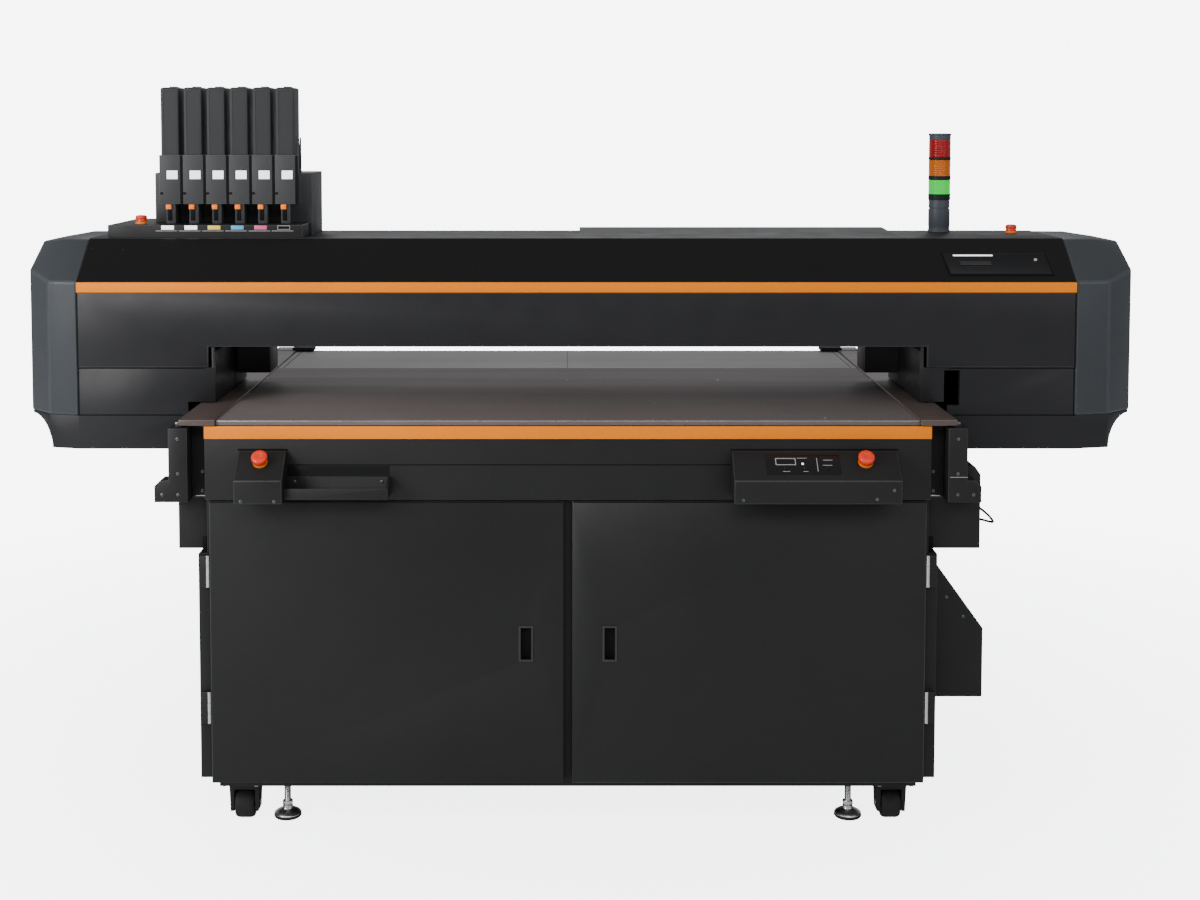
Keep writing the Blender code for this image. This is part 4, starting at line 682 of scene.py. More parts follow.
padPlace = onConsole(padSettings["wide"] / 2.0, padSettings["along"], 0.0)
controls = [
    plateOn("consolePad", (padSettings["wide"], padSettings["tall"]), 0.0012, "panelGlass", padPlace),
    plateOn("consoleDisplay", (0.05, 0.0215), 0.0011, "markGrey", onConsole(0.0482, 0.0592), rim=0.0016),
    plateOn("consoleDisplayGlass", (0.0455, 0.017), 0.0008, "panelGlass", onConsole(0.0482, 0.0592, 0.0011)),
    plateOn("consoleDivider", (0.0016, 0.042), 0.0005, "markGrey", onConsole(0.125, 0.05)),
]
consoleMarks = (
    (0.0885, 0.07, 0.024), (0.152, 0.064, 0.024), (0.0482, 0.029, 0.018), (0.0955, 0.029, 0.012),
    (0.15, 0.048, 0.023),
)
for number, (across, along, wide) in enumerate(consoleMarks):
    place = onConsole(across, along)
    controls.append(plateOn("consoleMark" + str(number), (wide, 0.0016), 0.0005, "markGrey", place))
buttonMaster = turnedStart("consoleButton", (
    (0.0, 0.0), (0.0062, 0.0), (0.0062, 0.001), (0.0054, 0.001), (0.0054, 0.0024), (0.0046, 0.0031), (0.0, 0.0032),
), 28)
polish(buttonMaster, "panelGlass")
for number, across in enumerate((0.0475, 0.0955, 0.15)):
    controls.append(copyTo(buttonMaster, "consoleButton" + str(number), onConsole(across, 0.0395)))
lamp = turnedStart("consoleLamp", ((0.0, 0.0), (0.003, 0.0), (0.003, 0.0012), (0.002, 0.0022), (0.0, 0.0026)), 20)
controls.append(polish(lamp, "labelWhite", onConsole(0.0893, 0.052)))
bpy.data.objects.remove(buttonMaster)
for piece in controls:
    belong(piece, "base")
print("console controls made")

# frames and cups at the door pulls, and bright hinge barrels on the outer edges
pullSettings = {
    "rim": 0.0052, "thick": 0.0018, "wide": 0.026, "tall": 0.08, "fromEdge": 0.093, "drop": 0.0026,
    "cup": 0.0134, "wall": 0.0006,
}
for side, word in sides:
    doorLow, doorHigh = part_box("door_" + word)
    pullX = doorHigh.x - pullSettings["fromEdge"] if side < 0 else doorLow.x + pullSettings["fromEdge"]
    pullZ = (doorLow.z + doorHigh.z) / 2.0 - pullSettings["drop"]
    wide, tall, rim = pullSettings["wide"], pullSettings["tall"], pullSettings["rim"]
    ringName = "pullFrame" + word.capitalize()
    ring = ringStart(ringName, wide + 2.0 * rim, tall + 2.0 * rim, rim, pullSettings["thick"], 0.0007)
    polish(ring, "blackPaintEdge", onFront(pullX, doorLow.y - 0.0001, pullZ))
    belong(ring, bodyOf["door_" + word])
    cup = flatBox("pullCup" + word.capitalize(), wide, tall, -pullSettings["cup"], 0.0)
    insetFaces(cup, looksUp, pullSettings["wall"], push=(0.0, 0.0, pullSettings["wall"] - pullSettings["cup"]))
    dress(cup, "deepBlack")
    moveMesh(cup, onFront(pullX, doorLow.y, pullZ))
    belong(cup, bodyOf["door_" + word])


def mirrored(profile):  # a profile drawn up to its middle, with the same again above
    return list(profile) + [(reach, -level) for reach, level in reversed(profile)]


hingeSettings = {"radius": 0.0049, "long": 0.08, "inset": 0.004, "fromSide": 0.0265, "leaf": 0.0235, "high": (0.665, 0.321)}
half = hingeSettings["long"] / 2.0
third = half / 3.0
wide = hingeSettings["radius"]
barrelMaster = turnedStart("hingeBarrel", mirrored((
    (0.0, -half), (wide - 0.0006, -half), (wide, -half + 0.0008),
    (wide, -third - 0.0004), (wide - 0.0008, -third), (wide, -third + 0.0004),
)), 20)
polish(barrelMaster, "brightSteel")
barrels = []
for side, word in sides:
    hingeX = cabinetLow.x + hingeSettings["fromSide"] if side < 0 else cabinetHigh.x - hingeSettings["fromSide"]
    leafLeft, leafRight = sorted((hingeX, hingeX + side * hingeSettings["leaf"]))
    for height in hingeSettings["high"]:
        barrels.append(copyTo(barrelMaster, "barrel", shift((hingeX, tableFront + hingeSettings["inset"], height))))
        leafLow = (leafLeft, tableFront + 0.0175, height - half + 0.002)
        leafHigh = (leafRight, tableFront + 0.021, height + half - 0.002)
        barrels.append(plainBox("leaf", "brightSteel", leafLow, leafHigh, 0.0006, 2))
joinOn(barrels, "hingeBarrels", "base")
bpy.data.objects.remove(barrelMaster)
print("doors finished")

# ink bottles: a tall shell with a sunk front, a chamfered top and a low cap on its back half
bottleSettings = {
    "corner": 0.0028, "top": 0.0075, "fall": 0.0022, "capWide": 0.02, "capDeep": 0.034, "capTall": 0.003, "capBack": 0.012,
}
firstLow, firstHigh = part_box("ink_bottle_1")
rimHeight = firstHigh.z - bottleSettings["capTall"]
bottleMaster = boxStart("bottleMaster", firstLow, (firstHigh.x, firstHigh.y, rimHeight))
insetFaces(bottleMaster, looksUp, bottleSettings["top"])
for vertex in bottleMaster.data.vertices:
    insideX = firstLow.x + 0.001 < vertex.co.x < firstHigh.x - 0.001
    insideY = firstLow.y + 0.001 < vertex.co.y < firstHigh.y - 0.001
    if vertex.co.z > rimHeight - 0.0001 and not (insideX and insideY):
        vertex.co.z -= bottleSettings["fall"]  # the top slopes up from the walls
bevelEdges(bottleMaster, bottleSettings["corner"], 4, 20.0)
insetFaces(bottleMaster, lambda face: face.normal.y < -0.95 and face.area > 0.002, 0.005, push=(0.0, 0.0009, 0.0))
bottleCap = flatBox("bottleCap", bottleSettings["capWide"], bottleSettings["capDeep"], rimHeight - 0.002, firstHigh.z)
firstMid = (firstLow + firstHigh) / 2.0
moveMesh(bottleCap, shift((firstMid.x, firstMid.y + bottleSettings["capBack"], 0.0)))
bevelEdges(bottleCap, 0.0016, 3)
bottleMaster = joinPieces([bottleMaster, bottleCap], "bottleMaster")
polish(bottleMaster, "inkShell")
for number in range(1, 7):
    nodeName = "ink_bottle_" + str(number)
    bottle = copyTo(bottleMaster, "inkBottleShell" + str(number), shift(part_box(nodeName)[0] - firstLow))
    standFor(bottle, nodeName)
bpy.data.objects.remove(bottleMaster)

# what is fixed to the front of each sleeve and of the tray
trayLow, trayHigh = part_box("ink_tray")
sleeveFront = firstLow.y - 0.0048
tagFinishes = ("labelWhite", "labelWhite", "inkYellow", "inkCyan", "inkMagenta", "markGrey")
inkTrim = {"labels": [], "latches": [], "slots": [], "tags": [], "lines": []}
for number, tagFinish in enumerate(tagFinishes, 1):
    bottleLow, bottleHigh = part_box("ink_bottle_" + str(number))
    middle = (bottleLow.x + bottleHigh.x) / 2.0
    flatTrim = [
        ("labels", (0.029, 0.0225), 0.0009, "labelWhite", middle + 0.006, sleeveFront, 0.132),
        ("latches", (0.014, 0.0125), 0.007, "latchOrange", middle - 0.005, sleeveFront + 0.006, 0.0455, 0.0014, 0.0022, 0.0016),
        ("slots", (0.012, 0.03), 0.0006, "deepBlack", middle - 0.0022, sleeveFront + 0.0059, 0.0235),
        ("slots", (0.008, 0.006), 0.0005, "deepBlack", middle - 0.0228, sleeveFront, 0.082),
        # painted shadow: this tall dark strip beside each bottle stands in for the shade in the gap between
        # neighbouring sleeves
        ("slots", (0.0075, 0.13), 0.0005, "deepBlack", bottleHigh.x + 0.007, sleeveFront, 0.1192),
        ("tags", (0.0335, 0.0108), 0.0008, tagFinish, middle + 0.004, trayLow.y, -0.007),
        ("lines", (0.0575, 0.0014), 0.0006, "markGrey", middle + 0.001, trayLow.y, -0.016),
    ]
    if number == 6:  # the last tag is dark with a grey edge
        flatTrim.append(("tags", (0.031, 0.0084), 0.0011, "deepBlack", middle + 0.004, trayLow.y, -0.007))
    for trimName, size, thick, finishName, x, depth, up, *edge in flatTrim:  # edge is the wear, rim and rise
        inkTrim[trimName].append(plateOn("trim", size, thick, finishName, onFront(x, depth, trayHigh.z + up), *edge))
for trimName, pieces in inkTrim.items():
    joinOn(pieces, "ink" + trimName.capitalize(), "bridge")
rackLow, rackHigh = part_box("ink_rack")
guardLow = (rackHigh.x - 0.0382, rackLow.y + 0.072, rackHigh.z - 0.05)
guard = boxStart("inkGuard", guardLow, (rackHigh.x - 0.029, rackLow.y + 0.0745, rackHigh.z + 0.048))
for vertex in guard.data.vertices:
    if vertex.co.z > rackHigh.z and vertex.co.x < rackHigh.x - 0.035:
        vertex.co += Vector((0.005, 0.0, -0.002))
pickFaces(guard, lambda face: face.normal.x < -0.5)
bpy.ops.mesh.subdivide(number_cuts=2)
bpy.ops.object.mode_set(mode="OBJECT")
bevelEdges(guard, 0.0008)
belong(polish(guard, "inkHousing"), "bridge")
print("ink station finished")

# signal tower: a turned post with a flanged foot, and three ringed lenses
towerLow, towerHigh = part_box("tower_post")
towerMid = (towerLow + towerHigh) / 2.0
towerTall = towerHigh.z - towerLow.z
towerSettings = {
    "radius": 0.0305, "core": 0.012, "base": 0.064, "neck": 0.03, "flange": 0.0045, "rings": 9, "below": 0.0045,
    "rise": {"green": 0.012, "amber": 0.007, "red": 0.0035},
}
radius, core, base, flange = (towerSettings[key] for key in ("radius", "core", "base", "flange"))
level = base + towerSettings["neck"]


def onTower(height):
    return shift((towerMid.x, towerMid.y, height))


profile = [
    (0.0, 0.0), (radius, 0.0), (radius, 0.005), (radius - 0.0012, 0.0062), (radius - 0.0012, 0.016),
    (radius - 0.0006, 0.017), (radius - 0.0006, base - 0.001), (radius - 0.0016, base), (radius - 0.003, base + 0.0008),
    (radius - 0.003, base + 0.003), (radius - 0.0016, base + 0.0042), (radius - 0.0016, level - 0.001),
    (radius - 0.0026, level), (core, level),
]
for word in ("green", "amber", "red"):
    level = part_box("lens_" + word)[1].z - towerLow.z + 0.0003
    profile += [(core, level), (radius - 0.001, level), (radius - 0.0006, level + 0.001)]
    if word != "red":
        profile += [(radius - 0.0006, level + flange - 0.001), (radius - 0.001, level + flange), (core, level + flange)]
profile += [
    (radius - 0.0006, towerTall - 0.006), (radius + 0.001, towerTall - 0.0054), (radius + 0.001, towerTall - 0.0016),
    (radius - 0.0004, towerTall - 0.0002), (radius - 0.01, towerTall), (0.0, towerTall),
]
towerPiece = turnedStart("towerPostTurned", profile, 56)
standFor(polish(towerPiece, "towerGrey", onTower(towerLow.z)), "tower_post")
for word in ("green", "amber", "red"):
    lensLow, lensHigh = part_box("lens_" + word)
    lensTall = lensHigh.z - lensLow.z
    lensProfile = [(core + 0.0004, 0.0), (radius - 0.0012, 0.0), (radius - 0.0003, 0.0012)]
    pitch = (lensTall - 0.005) / towerSettings["rings"]
    for number in range(towerSettings["rings"]):
        foot = 0.0025 + number * pitch
        lensProfile += [(radius - 0.0003, foot), (radius - 0.0011, foot + pitch * 0.25), (radius - 0.0003, foot + pitch * 0.5)]
    lensProfile += [
        (radius - 0.0003, lensTall - 0.0012), (radius - 0.0012, lensTall), (core + 0.0004, lensTall), (core + 0.0004, 0.0),
    ]
    lensPiece = turnedStart("lensRinged" + word.capitalize(), lensProfile, 56)
    polish(lensPiece, "lens" + word.capitalize(), onTower(lensLow.z), 50.0)
    standFor(lensPiece, "lens_" + word)
bands = []
for word, rise in towerSettings["rise"].items():  # dark collars that hold each lens at its foot
    bandTall = towerSettings["below"] + rise
    band = turnedStart("towerBand", (
        (radius - 0.0016, 0.0), (radius - 0.0002, 0.0), (radius + 0.0002, 0.0006), (radius + 0.0002, bandTall - 0.0006),
        (radius - 0.0002, bandTall), (radius - 0.0016, bandTall), (radius - 0.0016, 0.0),
    ), 56)
    bands.append(polish(band, "greyTop", onTower(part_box("lens_" + word)[0].z - towerSettings["below"])))
joinOn(bands, "towerBands", "bridge")
print("signal tower turned")


def hexStub(radius, tall, rim, rise, worn, segments=2, wanted=looksUp):  # a nut or a bolt's head
    piece = stubStart(6, radius, tall)
    insetFaces(piece, wanted, rim, rise)
    bevelEdges(piece, worn, segments)
    dress(piece, "brightSteel")
    return piece


# levelling feet: a zinc dome on a rubber sole, a lock nut and a threaded stem
footSettings = {"stem": 0.0085, "depth": 0.0008, "threads": 22, "threadFoot": 0.042, "nut": 0.0372, "spare": 0.024}
footLow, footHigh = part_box("foot_front_left")
footTall = footHigh.z - footLow.z
stem, threadFoot = footSettings["stem"], footSettings["threadFoot"]
stemTop = footTall + footSettings["spare"]  # the spare stays in the floor when the foot is screwed down
soleProfile = ((0.0, 0.0), (0.0325, 0.0), (0.035, 0.003), (0.035, 0.007), (0.0335, 0.008), (0.0, 0.008))
domeProfile = (
    (0.0, 0.0078), (0.0338, 0.0078), (0.0344, 0.01), (0.0325, 0.0128), (0.026, 0.0168), (0.019, 0.02),
    (0.0145, 0.0226), (0.0128, 0.0262), (0.0128, 0.03), (0.0108, 0.0316), (stem, 0.0316), (0.0, 0.0316),
)
pitch = (footTall - threadFoot) / footSettings["threads"]
stemProfile = [(0.0, 0.03), (stem, 0.03), (stem, threadFoot)]
for number in range(footSettings["threads"]):
    stemProfile.append((stem - footSettings["depth"], threadFoot + pitch * (number + 0.5)))
    stemProfile.append((stem, threadFoot + pitch * (number + 1.0)))
stemProfile += [(stem, stemTop), (0.0, stemTop)]
for word in corners:
    nodeName = "foot_" + word
    low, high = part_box(nodeName)
    nut = hexStub(0.014, 0.0085, 0.0016, 0.0008, 0.0006, wanted=lambda face: abs(face.normal.z) > 0.9)
    footParts = [
        polish(turnedStart("dome", domeProfile, 48), "brightSteel"),
        polish(turnedStart("sole", soleProfile, 48), "blackRubber"),
        polish(turnedStart("shaft", stemProfile, 24), "brightSteel"),
        polish(nut, "brightSteel", shift((0.0, 0.0, footSettings["nut"]))),
    ]
    whole = joinPieces(footParts, "levelFoot_" + word)
    moveMesh(whole, shift(((low.x + high.x) / 2.0, (low.y + high.y) / 2.0, low.z)))
    standFor(whole, nodeName)
print("feet turned")

# casters: a treaded wheel with a hub, and nuts on the axle's ends
wheelLow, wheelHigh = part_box("caster_wheel_front_left")
wheelRadius = (wheelHigh.z - wheelLow.z) / 2.0
wheelHalf = (wheelHigh.x - wheelLow.x) / 2.0
wheelBore = 0.00575
tyreProfile = mirrored((
    (wheelRadius * 0.66, -wheelHalf + 0.003), (wheelRadius - 0.008, -wheelHalf + 0.0004),
    (wheelRadius - 0.004, -wheelHalf + 0.0018), (wheelRadius - 0.0012, -wheelHalf + 0.006), (wheelRadius, -wheelHalf + 0.012),
))
hubProfile = mirrored((
    (wheelBore, -wheelHalf), (0.012, -wheelHalf), (0.0135, -wheelHalf + 0.003),
    (wheelRadius * 0.6, -wheelHalf + 0.006), (wheelRadius * 0.67, -wheelHalf + 0.0034),
))
for word in corners:
    wheelNode, forkNode = "caster_wheel_" + word, "caster_fork_" + word
    low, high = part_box(wheelNode)
    middle = (low + high) / 2.0
    tyre = polish(turnedStart("tyre", tyreProfile + tyreProfile[:1], 56), "blackRubber")
    hub = polish(turnedStart("hub", hubProfile + hubProfile[:1], 56), "greyTop")
    wheel = joinPieces([tyre, hub], "wheelTurned_" + word)
    moveMesh(wheel, shift(middle) @ facing(rightward))
    standFor(wheel, wheelNode)
    forkLow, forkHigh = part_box(forkNode)
    nuts = []
    for outward, faceX in ((leftward, forkLow.x + 0.0048), (rightward, forkHigh.x - 0.0048)):
        nut = hexStub(0.0085, 0.005, 0.0014, 0.0008, 0.0005)
        nuts.append(moveMesh(nut, shift((faceX, middle.y, middle.z)) @ facing(outward)))
    joinOn(nuts, "axleNuts_" + word, bodyOf[forkNode])
print("casters finished")


# seams where the bridge's covers, lower panels and skirts meet, drawn as shallow dark reveals
def seamOn(name, across, up, depth, finishName="deepBlack"):  # a flat strip on a face that looks to the front
    left, right = sorted(across)
    place = onFront((left + right) / 2.0, depth, (up[0] + up[1]) / 2.0)
    return plateOn(name, (right - left, up[1] - up[0]), 0.0005, finishName, place)


seamTall = 0.0034
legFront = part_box("leg_left")[0].y
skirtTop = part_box("end_cap_left")[0].z
reveals = {"bridge": [], "cover": []}
for side, endX, outerX in ((-1, coverLow.x, tableMid - 0.944), (1, coverHigh.x, tableMid + 0.989)):
    coverEnd = (endX, endX - side * 0.0028)
    reveals["bridge"] += [
        seamOn("reveal", (endX, outerX), (coverLow.z - seamTall, coverLow.z - 0.0004), legFront),
        seamOn("reveal", (endX, tableMid + side * 1.003), (skirtTop - 0.0008, skirtTop + seamTall - 0.0008), legFront),
        seamOn("reveal", coverEnd, (skirtTop + 0.003, coverLow.z - 0.0004), legFront),
    ]
    reveals["cover"].append(seamOn("reveal", coverEnd, (coverLow.z + 0.0006, coverHigh.z - 0.0006), coverLow.y))
for bodyName, pieces in reveals.items():
    joinOn(pieces, bodyName + "Reveals", bodyName)
# painted shadow: a dark band on each leg's inner sheet stands in for the shade there
legShades = []
for side, word in sides:  # dark band at the top of each leg's inner sheet
    innerX = tableMid + side * 0.917
    left, right = sorted((innerX, innerX - side * 0.0006))
    shadeLow, shadeHigh = (left, legFront + 0.003, coverLow.z + 0.041), (right, legFront + 0.27, coverLow.z + 0.052)
    legShades.append(plainBox("shade", "deepBlack", shadeLow, shadeHigh, 0.0002))
joinOn(legShades, "legShades", "bridge")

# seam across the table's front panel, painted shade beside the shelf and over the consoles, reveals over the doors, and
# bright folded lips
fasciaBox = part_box("table_fascia")
frontY, fasciaTop = fasciaBox[0].y, fasciaBox[1].z
betweenConsoles = (consoleLeftHigh.x + 0.001, consoleRightLow.x - 0.001)
besideShelf = (consoleLeftHigh.x + 0.002, shelfHigh.x - 0.002)
baseReveals = [
    seamOn("frontSeam", betweenConsoles, (fasciaTop - 0.0988, fasciaTop - 0.0962), frontY),
    # painted shade: a dark plate beside the shelf stands in for the shade of the recess there
    seamOn("shelfShade", besideShelf, (fasciaTop - 0.16, fasciaTop - 0.1), frontY, "panelGlass"),
]
# painted shadow: a dark strip along the top of each console stands in for the shadow gap where it meets the fascia
for boxLow, boxHigh in ((consoleLeftLow, consoleLeftHigh), (consoleRightLow, consoleRightHigh)):
    overConsole = (boxLow.x - 0.0035, boxHigh.x + 0.0035)
    baseReveals.append(seamOn("consoleShade", overConsole, (boxHigh.z - 0.0003, boxHigh.z + 0.0043), frontY))
for side, word in sides:
    doorLow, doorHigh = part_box("door_" + word)
    acrossDoor = (doorLow.x + 0.002, doorHigh.x - 0.002)
    over = seamOn("doorReveal" + word.capitalize(), acrossDoor, (doorHigh.z - 0.0048, doorHigh.z - 0.0004), doorLow.y)
    belong(over, bodyOf["door_" + word])
    place = onFront(tableMid + side * 0.9045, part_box("duct_" + word)[0].y, 0.7257)
    baseReveals.append(plateOn("notch", (0.013, 0.038), 0.0005, "deepBlack", place))
joinOn(baseReveals, "tableReveals", "base")
lips = []
for side, word in sides:
    place = onFront(tableMid + side * 0.9085, frameLow.y, frameLow.z + 0.003)
    lips.append(plateOn("lip", (0.036, 0.0022), 0.001, "brightSteel", place))
place = onFront(tableMid + 0.96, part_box("rail_end_right")[0].y, 0.905)
lips.append(plateOn("lip", (0.044, 0.0014), 0.0008, "markGrey", place))
joinOn(lips, "foldedLips", "base")
print("seams drawn")

# bed and deck: locating pins, suction holes, seams and dark corner blocks behind
pinSpots = (
    (-0.8626, 0.421), (-0.86, 0.701), (0.8647, 0.663), (0.6382, 0.038), (0.4277, 0.663), (-0.0014, 0.663),
    (0.2282, 0.264), (0.2109, 0.029),
)
pinMaster = stubStart(14, 0.0032, 0.0011)
insetFaces(pinMaster, looksUp, 0.0012, push=(0.0, 0.0, -0.0006))
dress(pinMaster, "brightSteel")
pins = [copyTo(pinMaster, "pin", shift((tableMid + across, tableFront + behind, bedHigh.z))) for across, behind in pinSpots]
joinOn(pins, "bedPins", "base")
bpy.data.objects.remove(pinMaster)
holeSettings = {"across": 40, "along": 16, "radius": 0.0011, "margin": 0.045}
margin = holeSettings["margin"]
firstHole = (bedLow.x + margin, bedLow.y + margin, bedHigh.z + 0.0002)
freshStart()
bpy.ops.mesh.primitive_circle_add(vertices=6, radius=holeSettings["radius"], fill_type="NGON", location=firstHole)
holes = bpy.context.object
holes.name = "suctionHoles"
bpy.ops.object.transform_apply(location=True, rotation=True, scale=True)
bedSpan = bedHigh - bedLow
stepX = (bedSpan.x - 2.0 * margin) / (holeSettings["across"] - 1)
stepY = (bedSpan.y - 2.0 * margin) / (holeSettings["along"] - 1)
for count, step in ((holeSettings["across"], (stepX, 0.0, 0.0)), (holeSettings["along"], (0.0, stepY, 0.0))):
    applyModifier(
        holes, "ARRAY", count=count, use_relative_offset=False, use_constant_offset=True, constant_offset_displace=step,
    )
pickFaces(holes, anyFace)
bpy.ops.mesh.inset(thickness=0.0003, use_individual=True, depth=-0.0001)
bpy.ops.object.mode_set(mode="OBJECT")
dress(holes, "deepBlack")
belong(holes, "base")
deckLow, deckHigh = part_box("rear_deck")
deckLines = []
for across, wide in ((-0.85, 0.0026), (0.0, 0.0012), (0.85, 0.0026)):
    lineLow = (tableMid + across - wide / 2.0, deckLow.y + 0.012, deckHigh.z - 0.0004)
    lineHigh = (tableMid + across + wide / 2.0, deckHigh.y - 0.012, deckHigh.z + 0.0004)
    deckLines.append(plainBox("deckLine", "deepBlack", lineLow, lineHigh, 0.0003))
joinOn(deckLines, "deckLines", "base")
blocks = []
blockPairs = ((0.815, 0.88, 0.013, "blackRubber"), (0.883, 0.935, 0.0068, "deckPlate"))  # the outer pair passes under the legs
for inner, outer, proud, finishName in blockPairs:
    for side, word in sides:
        left, right = sorted((tableMid + side * inner, tableMid + side * outer))
        blockLow = (left, tableFront + 1.27, deckHigh.z - 0.0003)
        block = boxStart("deckBlock", blockLow, (right, tableFront + 1.335, deckHigh.z + proud))
        insetFaces(block, looksUp, 0.006, push=(0.0, 0.0, -0.002))
        bevelEdges(block, 0.0012)
        blocks.append(polish(block, finishName))
joinOn(blocks, "deckBlocks", "base")
print("bed and deck finished")

# louvres pressed out of the sheet, one modelled and the rest copied
louvreSettings = {"long": 0.15, "tall": 0.009, "proud": 0.006, "lip": 0.0012, "pitch": 0.019}
louvreMaster = flatBox("louvre", louvreSettings["long"], louvreSettings["tall"], 0.0, louvreSettings["proud"])
for vertex in louvreMaster.data.vertices:
    if vertex.co.z > 0.001 and vertex.co.y > 0.0:
        vertex.co.z = louvreSettings["lip"]
insetFaces(louvreMaster, lambda face: face.normal.y < -0.9, 0.0011, push=(0.0, 0.0045, 0.0))
bevelEdges(louvreMaster, 0.0006, 1)
polish(louvreMaster, "blackPaint")


def louvresDown(out, x, y, top, count):  # one column of louvres on a wall
    spots = [(x, y, top - number * louvreSettings["pitch"]) for number in range(count)]
    return [copyTo(louvreMaster, "louvre", turnedTo(out, spot)) for spot in spots]


cabinetMidY = (cabinetLow.y + cabinetHigh.y) / 2.0
louvres = louvresDown(leftward, cabinetLow.x, cabinetMidY - 0.36, 0.62, 9)
louvres += louvresDown(leftward, cabinetLow.x, cabinetMidY + 0.36, 0.62, 9)
louvres += louvresDown(rightward, cabinetHigh.x, cabinetMidY + 0.36, 0.62, 9)  # the side pocket fills the front half here
for across in (-0.6, -0.4, 0.4, 0.6):
    louvres += louvresDown(back, tableMid + across, cabinetHigh.y, 0.66, 12)
joinOn(louvres, "cabinetLouvres", "base")
hoodLouvres = []
for across in (-0.95, -0.78, 0.6, 0.77, 0.94):
    hoodLouvres += louvresDown(back, tableMid + across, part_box("top_cover")[1].y, 1.38, 6)
hoodGrilles = joinOn(hoodLouvres, "hoodLouvres", "bridge")
hoodGrilles.data.materials[0] = finishes["greyTop"]
bpy.data.objects.remove(louvreMaster)


# back of the table: two service panels, a mains inlet with its switch, a rating plate and cable glands
def onRear(across, up, lift=0.0):
    return turnedTo(back, (tableMid + across, cabinetHigh.y + lift, up))


rearSettings = {"panelWide": 0.72, "panelTall": 0.56, "panelUp": 0.455, "gap": 0.89, "inletUp": 0.23}
rearPieces = []
for side, word in sides:
    edge = ringStart("edge", rearSettings["panelWide"], rearSettings["panelTall"], 0.012, 0.0022, 0.0008)
    place = onRear(side * rearSettings["gap"] / 2.0, rearSettings["panelUp"], -0.0004)
    rearPieces.append(polish(edge, "blackPaint", place))
inletUp = rearSettings["inletUp"]
rearPieces += [
    plateOn("inletPlate", (0.118, 0.074), 0.0024, "greyTop", onRear(0.0, inletUp), rim=0.0016),
    plateOn("inlet", (0.034, 0.026), 0.016, "deepBlack", onRear(-0.028, inletUp, 0.001), worn=0.002, rim=0.003),
    plateOn("rocker", (0.022, 0.03), 0.007, "redButton", onRear(0.03, inletUp, 0.001), worn=0.0016, rim=0.0018),
    plateOn("ratingPlate", (0.08, 0.045), 0.0008, "towerGrey", onRear(0.0, 0.33), rim=0.0016),
]
glandProfile = (
    (0.0, 0.0), (0.013, 0.0), (0.013, 0.005), (0.0115, 0.0062), (0.0115, 0.015), (0.0085, 0.019),
    (0.0055, 0.0196), (0.005, 0.012), (0.0, 0.012),
)
for across in (-0.036, 0.0, 0.036):
    place = shift((tableMid + across, cabinetHigh.y - 0.0003, 0.165)) @ facing(back)
    rearPieces.append(polish(turnedStart("gland", glandProfile, 20), "blackRubber", place))
joinOn(rearPieces, "rearFittings", "base")
print("sides and back finished")

# head box: a nozzle plate below, a front label recess and side lamp housings
headLow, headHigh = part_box("print_head")
headMid = (headLow.x + headHigh.x) / 2.0
plateLow = (headLow.x + 0.05, headLow.y + 0.016, headLow.z - 0.0014)
plateHigh = (headHigh.x - 0.05, headHigh.y - 0.016, headLow.z + 0.001)
headPieces = [plainBox("nozzlePlate", "brightSteel", plateLow, plateHigh, 0.0008, 2)]
for number in range(4):
    nozzleLeft = headLow.x + 0.072 + 0.036 * number
    nozzleLow = (nozzleLeft, headLow.y + 0.026, headLow.z - 0.0022)
    nozzleHigh = (nozzleLeft + 0.018, headHigh.y - 0.026, headLow.z - 0.001)
    headPieces.append(plainBox("nozzles", "deepBlack", nozzleLow, nozzleHigh, 0.0005))
place = onFront(headMid, headLow.y, headLow.z + 0.09)
headPieces.append(plateOn("headPlate", (0.15, 0.07), 0.0014, "slateCap", place, rim=0.003))
for side, word in sides:
    place = onFront(headMid + side * 0.108, headLow.y, headLow.z + 0.08)
    headPieces.append(plateOn("lampFront", (0.042, 0.12), 0.0016, "deepBlack", place, rim=0.004))
joinOn(headPieces, "headFittings", bodyOf["print_head"])

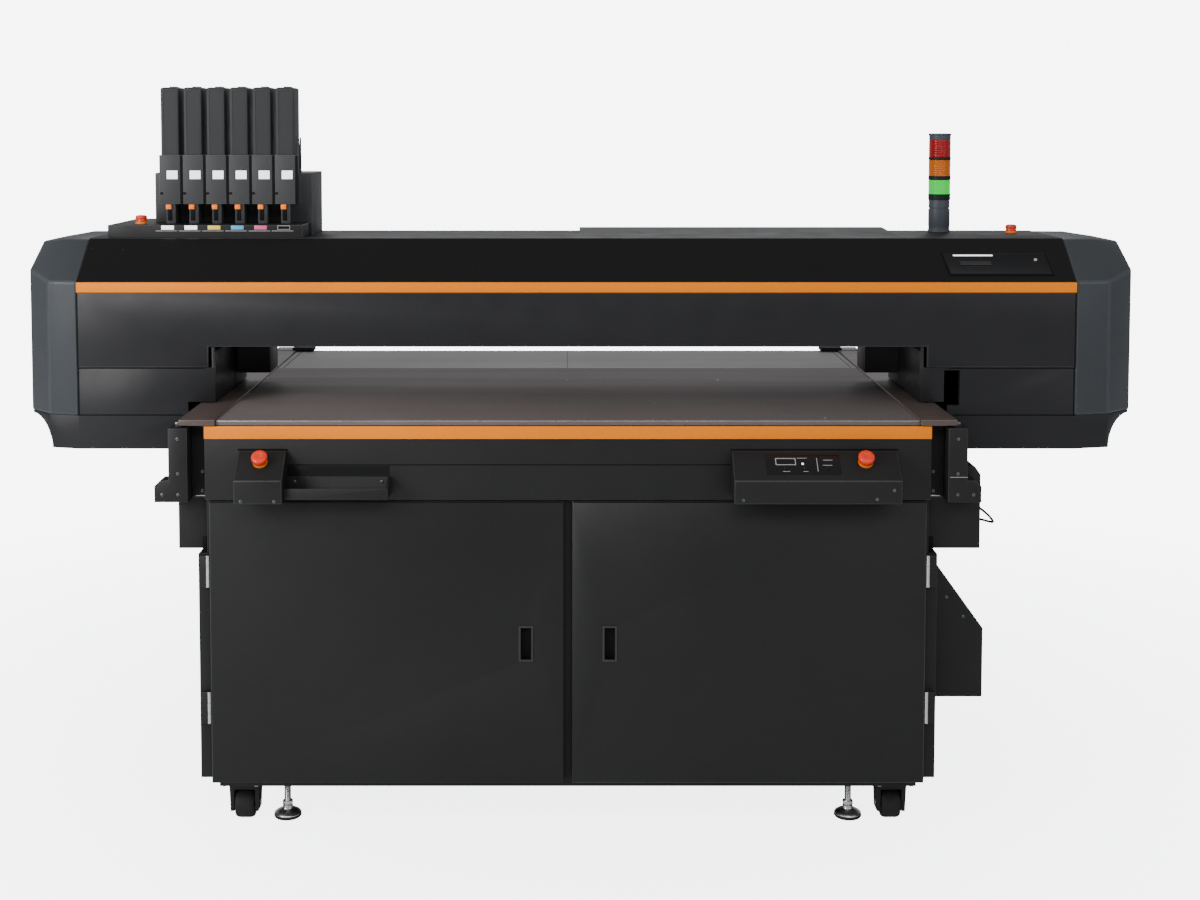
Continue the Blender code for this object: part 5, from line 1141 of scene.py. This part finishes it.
# bolts that hold the casters, and the race above each fork
raceProfile = (
    (0.0185, 0.0), (0.03, 0.0), (0.031, -0.0016), (0.031, -0.005), (0.029, -0.0068), (0.0185, -0.0068), (0.0185, 0.0),
)
boltMaster = hexStub(0.008, 0.006, 0.0014, 0.0009, 0.0004, 1)
bolts = []
swivelAt = {joint["child"]: joint["pos_m"] for joint in frame["joints"] if joint["name"].endswith("swivel")}
for word in corners:
    forkNode = "caster_fork_" + word
    midX, midY = swivelAt[bodyOf[forkNode]][:2]
    for across in (-0.04, 0.04):
        for along in (-0.052, 0.052):
            place = shift((midX + across, midY + along, cabinetLow.z + 0.0002)) @ facing((0, 0, -1))
            bolts.append(copyTo(boltMaster, "bolt", place))
    race = turnedStart("race_" + word, raceProfile, 36)
    polish(race, "brightSteel", shift((midX, midY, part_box(forkNode)[1].z + 0.0003)))
    belong(race, bodyOf[forkNode])
joinOn(bolts, "casterBolts", "base")
bpy.data.objects.remove(boltMaster)
print("head and casters finished")

# soft light: a broad key low at the left, a weaker fill at the right, one in front, one behind, and a pale backdrop
lightSettings = {
    "key": {"at": (-3.3, -3.1, 2.2), "size": (1.8, 2.4), "power": 135.0, "aim": (-0.6, 0.0, 1.0)},
    "fill": {"at": (4.6, -4.6, 3.4), "size": (3.0, 3.0), "power": 62.0, "aim": (0.0, 0.0, 0.8)},
    "front": {"at": (0.0, -6.0, 5.2), "size": (6.0, 2.0), "power": 145.0, "aim": (0.0, 0.0, 0.5)},
    "rear": {"at": (0.0, 5.5, 5.4), "size": (6.0, 2.5), "power": 110.0, "aim": (0.0, 0.0, 0.6)},
}
for lightName, values in lightSettings.items():
    data = bpy.data.lights.new(lightName, "AREA")
    data.energy = values["power"]
    data.shape = "RECTANGLE"
    data.size, data.size_y = values["size"]
    light = bpy.data.objects.new(lightName, data)
    light.location = values["at"]
    light.rotation_euler = (Vector(values["aim"]) - Vector(values["at"])).to_track_quat("-Z", "Y").to_euler()
    bpy.context.scene.collection.objects.link(light)
worldSettings = {"colour": (0.93, 0.94, 0.97, 1.0), "onMachine": 0.43, "behind": 7.6}
world = bpy.data.worlds.new("world")
world.use_nodes = True
worldTree = world.node_tree
backdrop = worldTree.nodes["Background"]
backdrop.inputs["Color"].default_value = worldSettings["colour"]
strength = addNode(worldTree, "ShaderNodeMapRange")
strength.inputs["To Min"].default_value = worldSettings["onMachine"]
strength.inputs["To Max"].default_value = worldSettings["behind"]
worldTree.links.new(addNode(worldTree, "ShaderNodeLightPath").outputs["Is Camera Ray"], strength.inputs["Value"])
worldTree.links.new(strength.outputs["Result"], backdrop.inputs["Strength"])
bpy.context.scene.world = world
print("lights on")
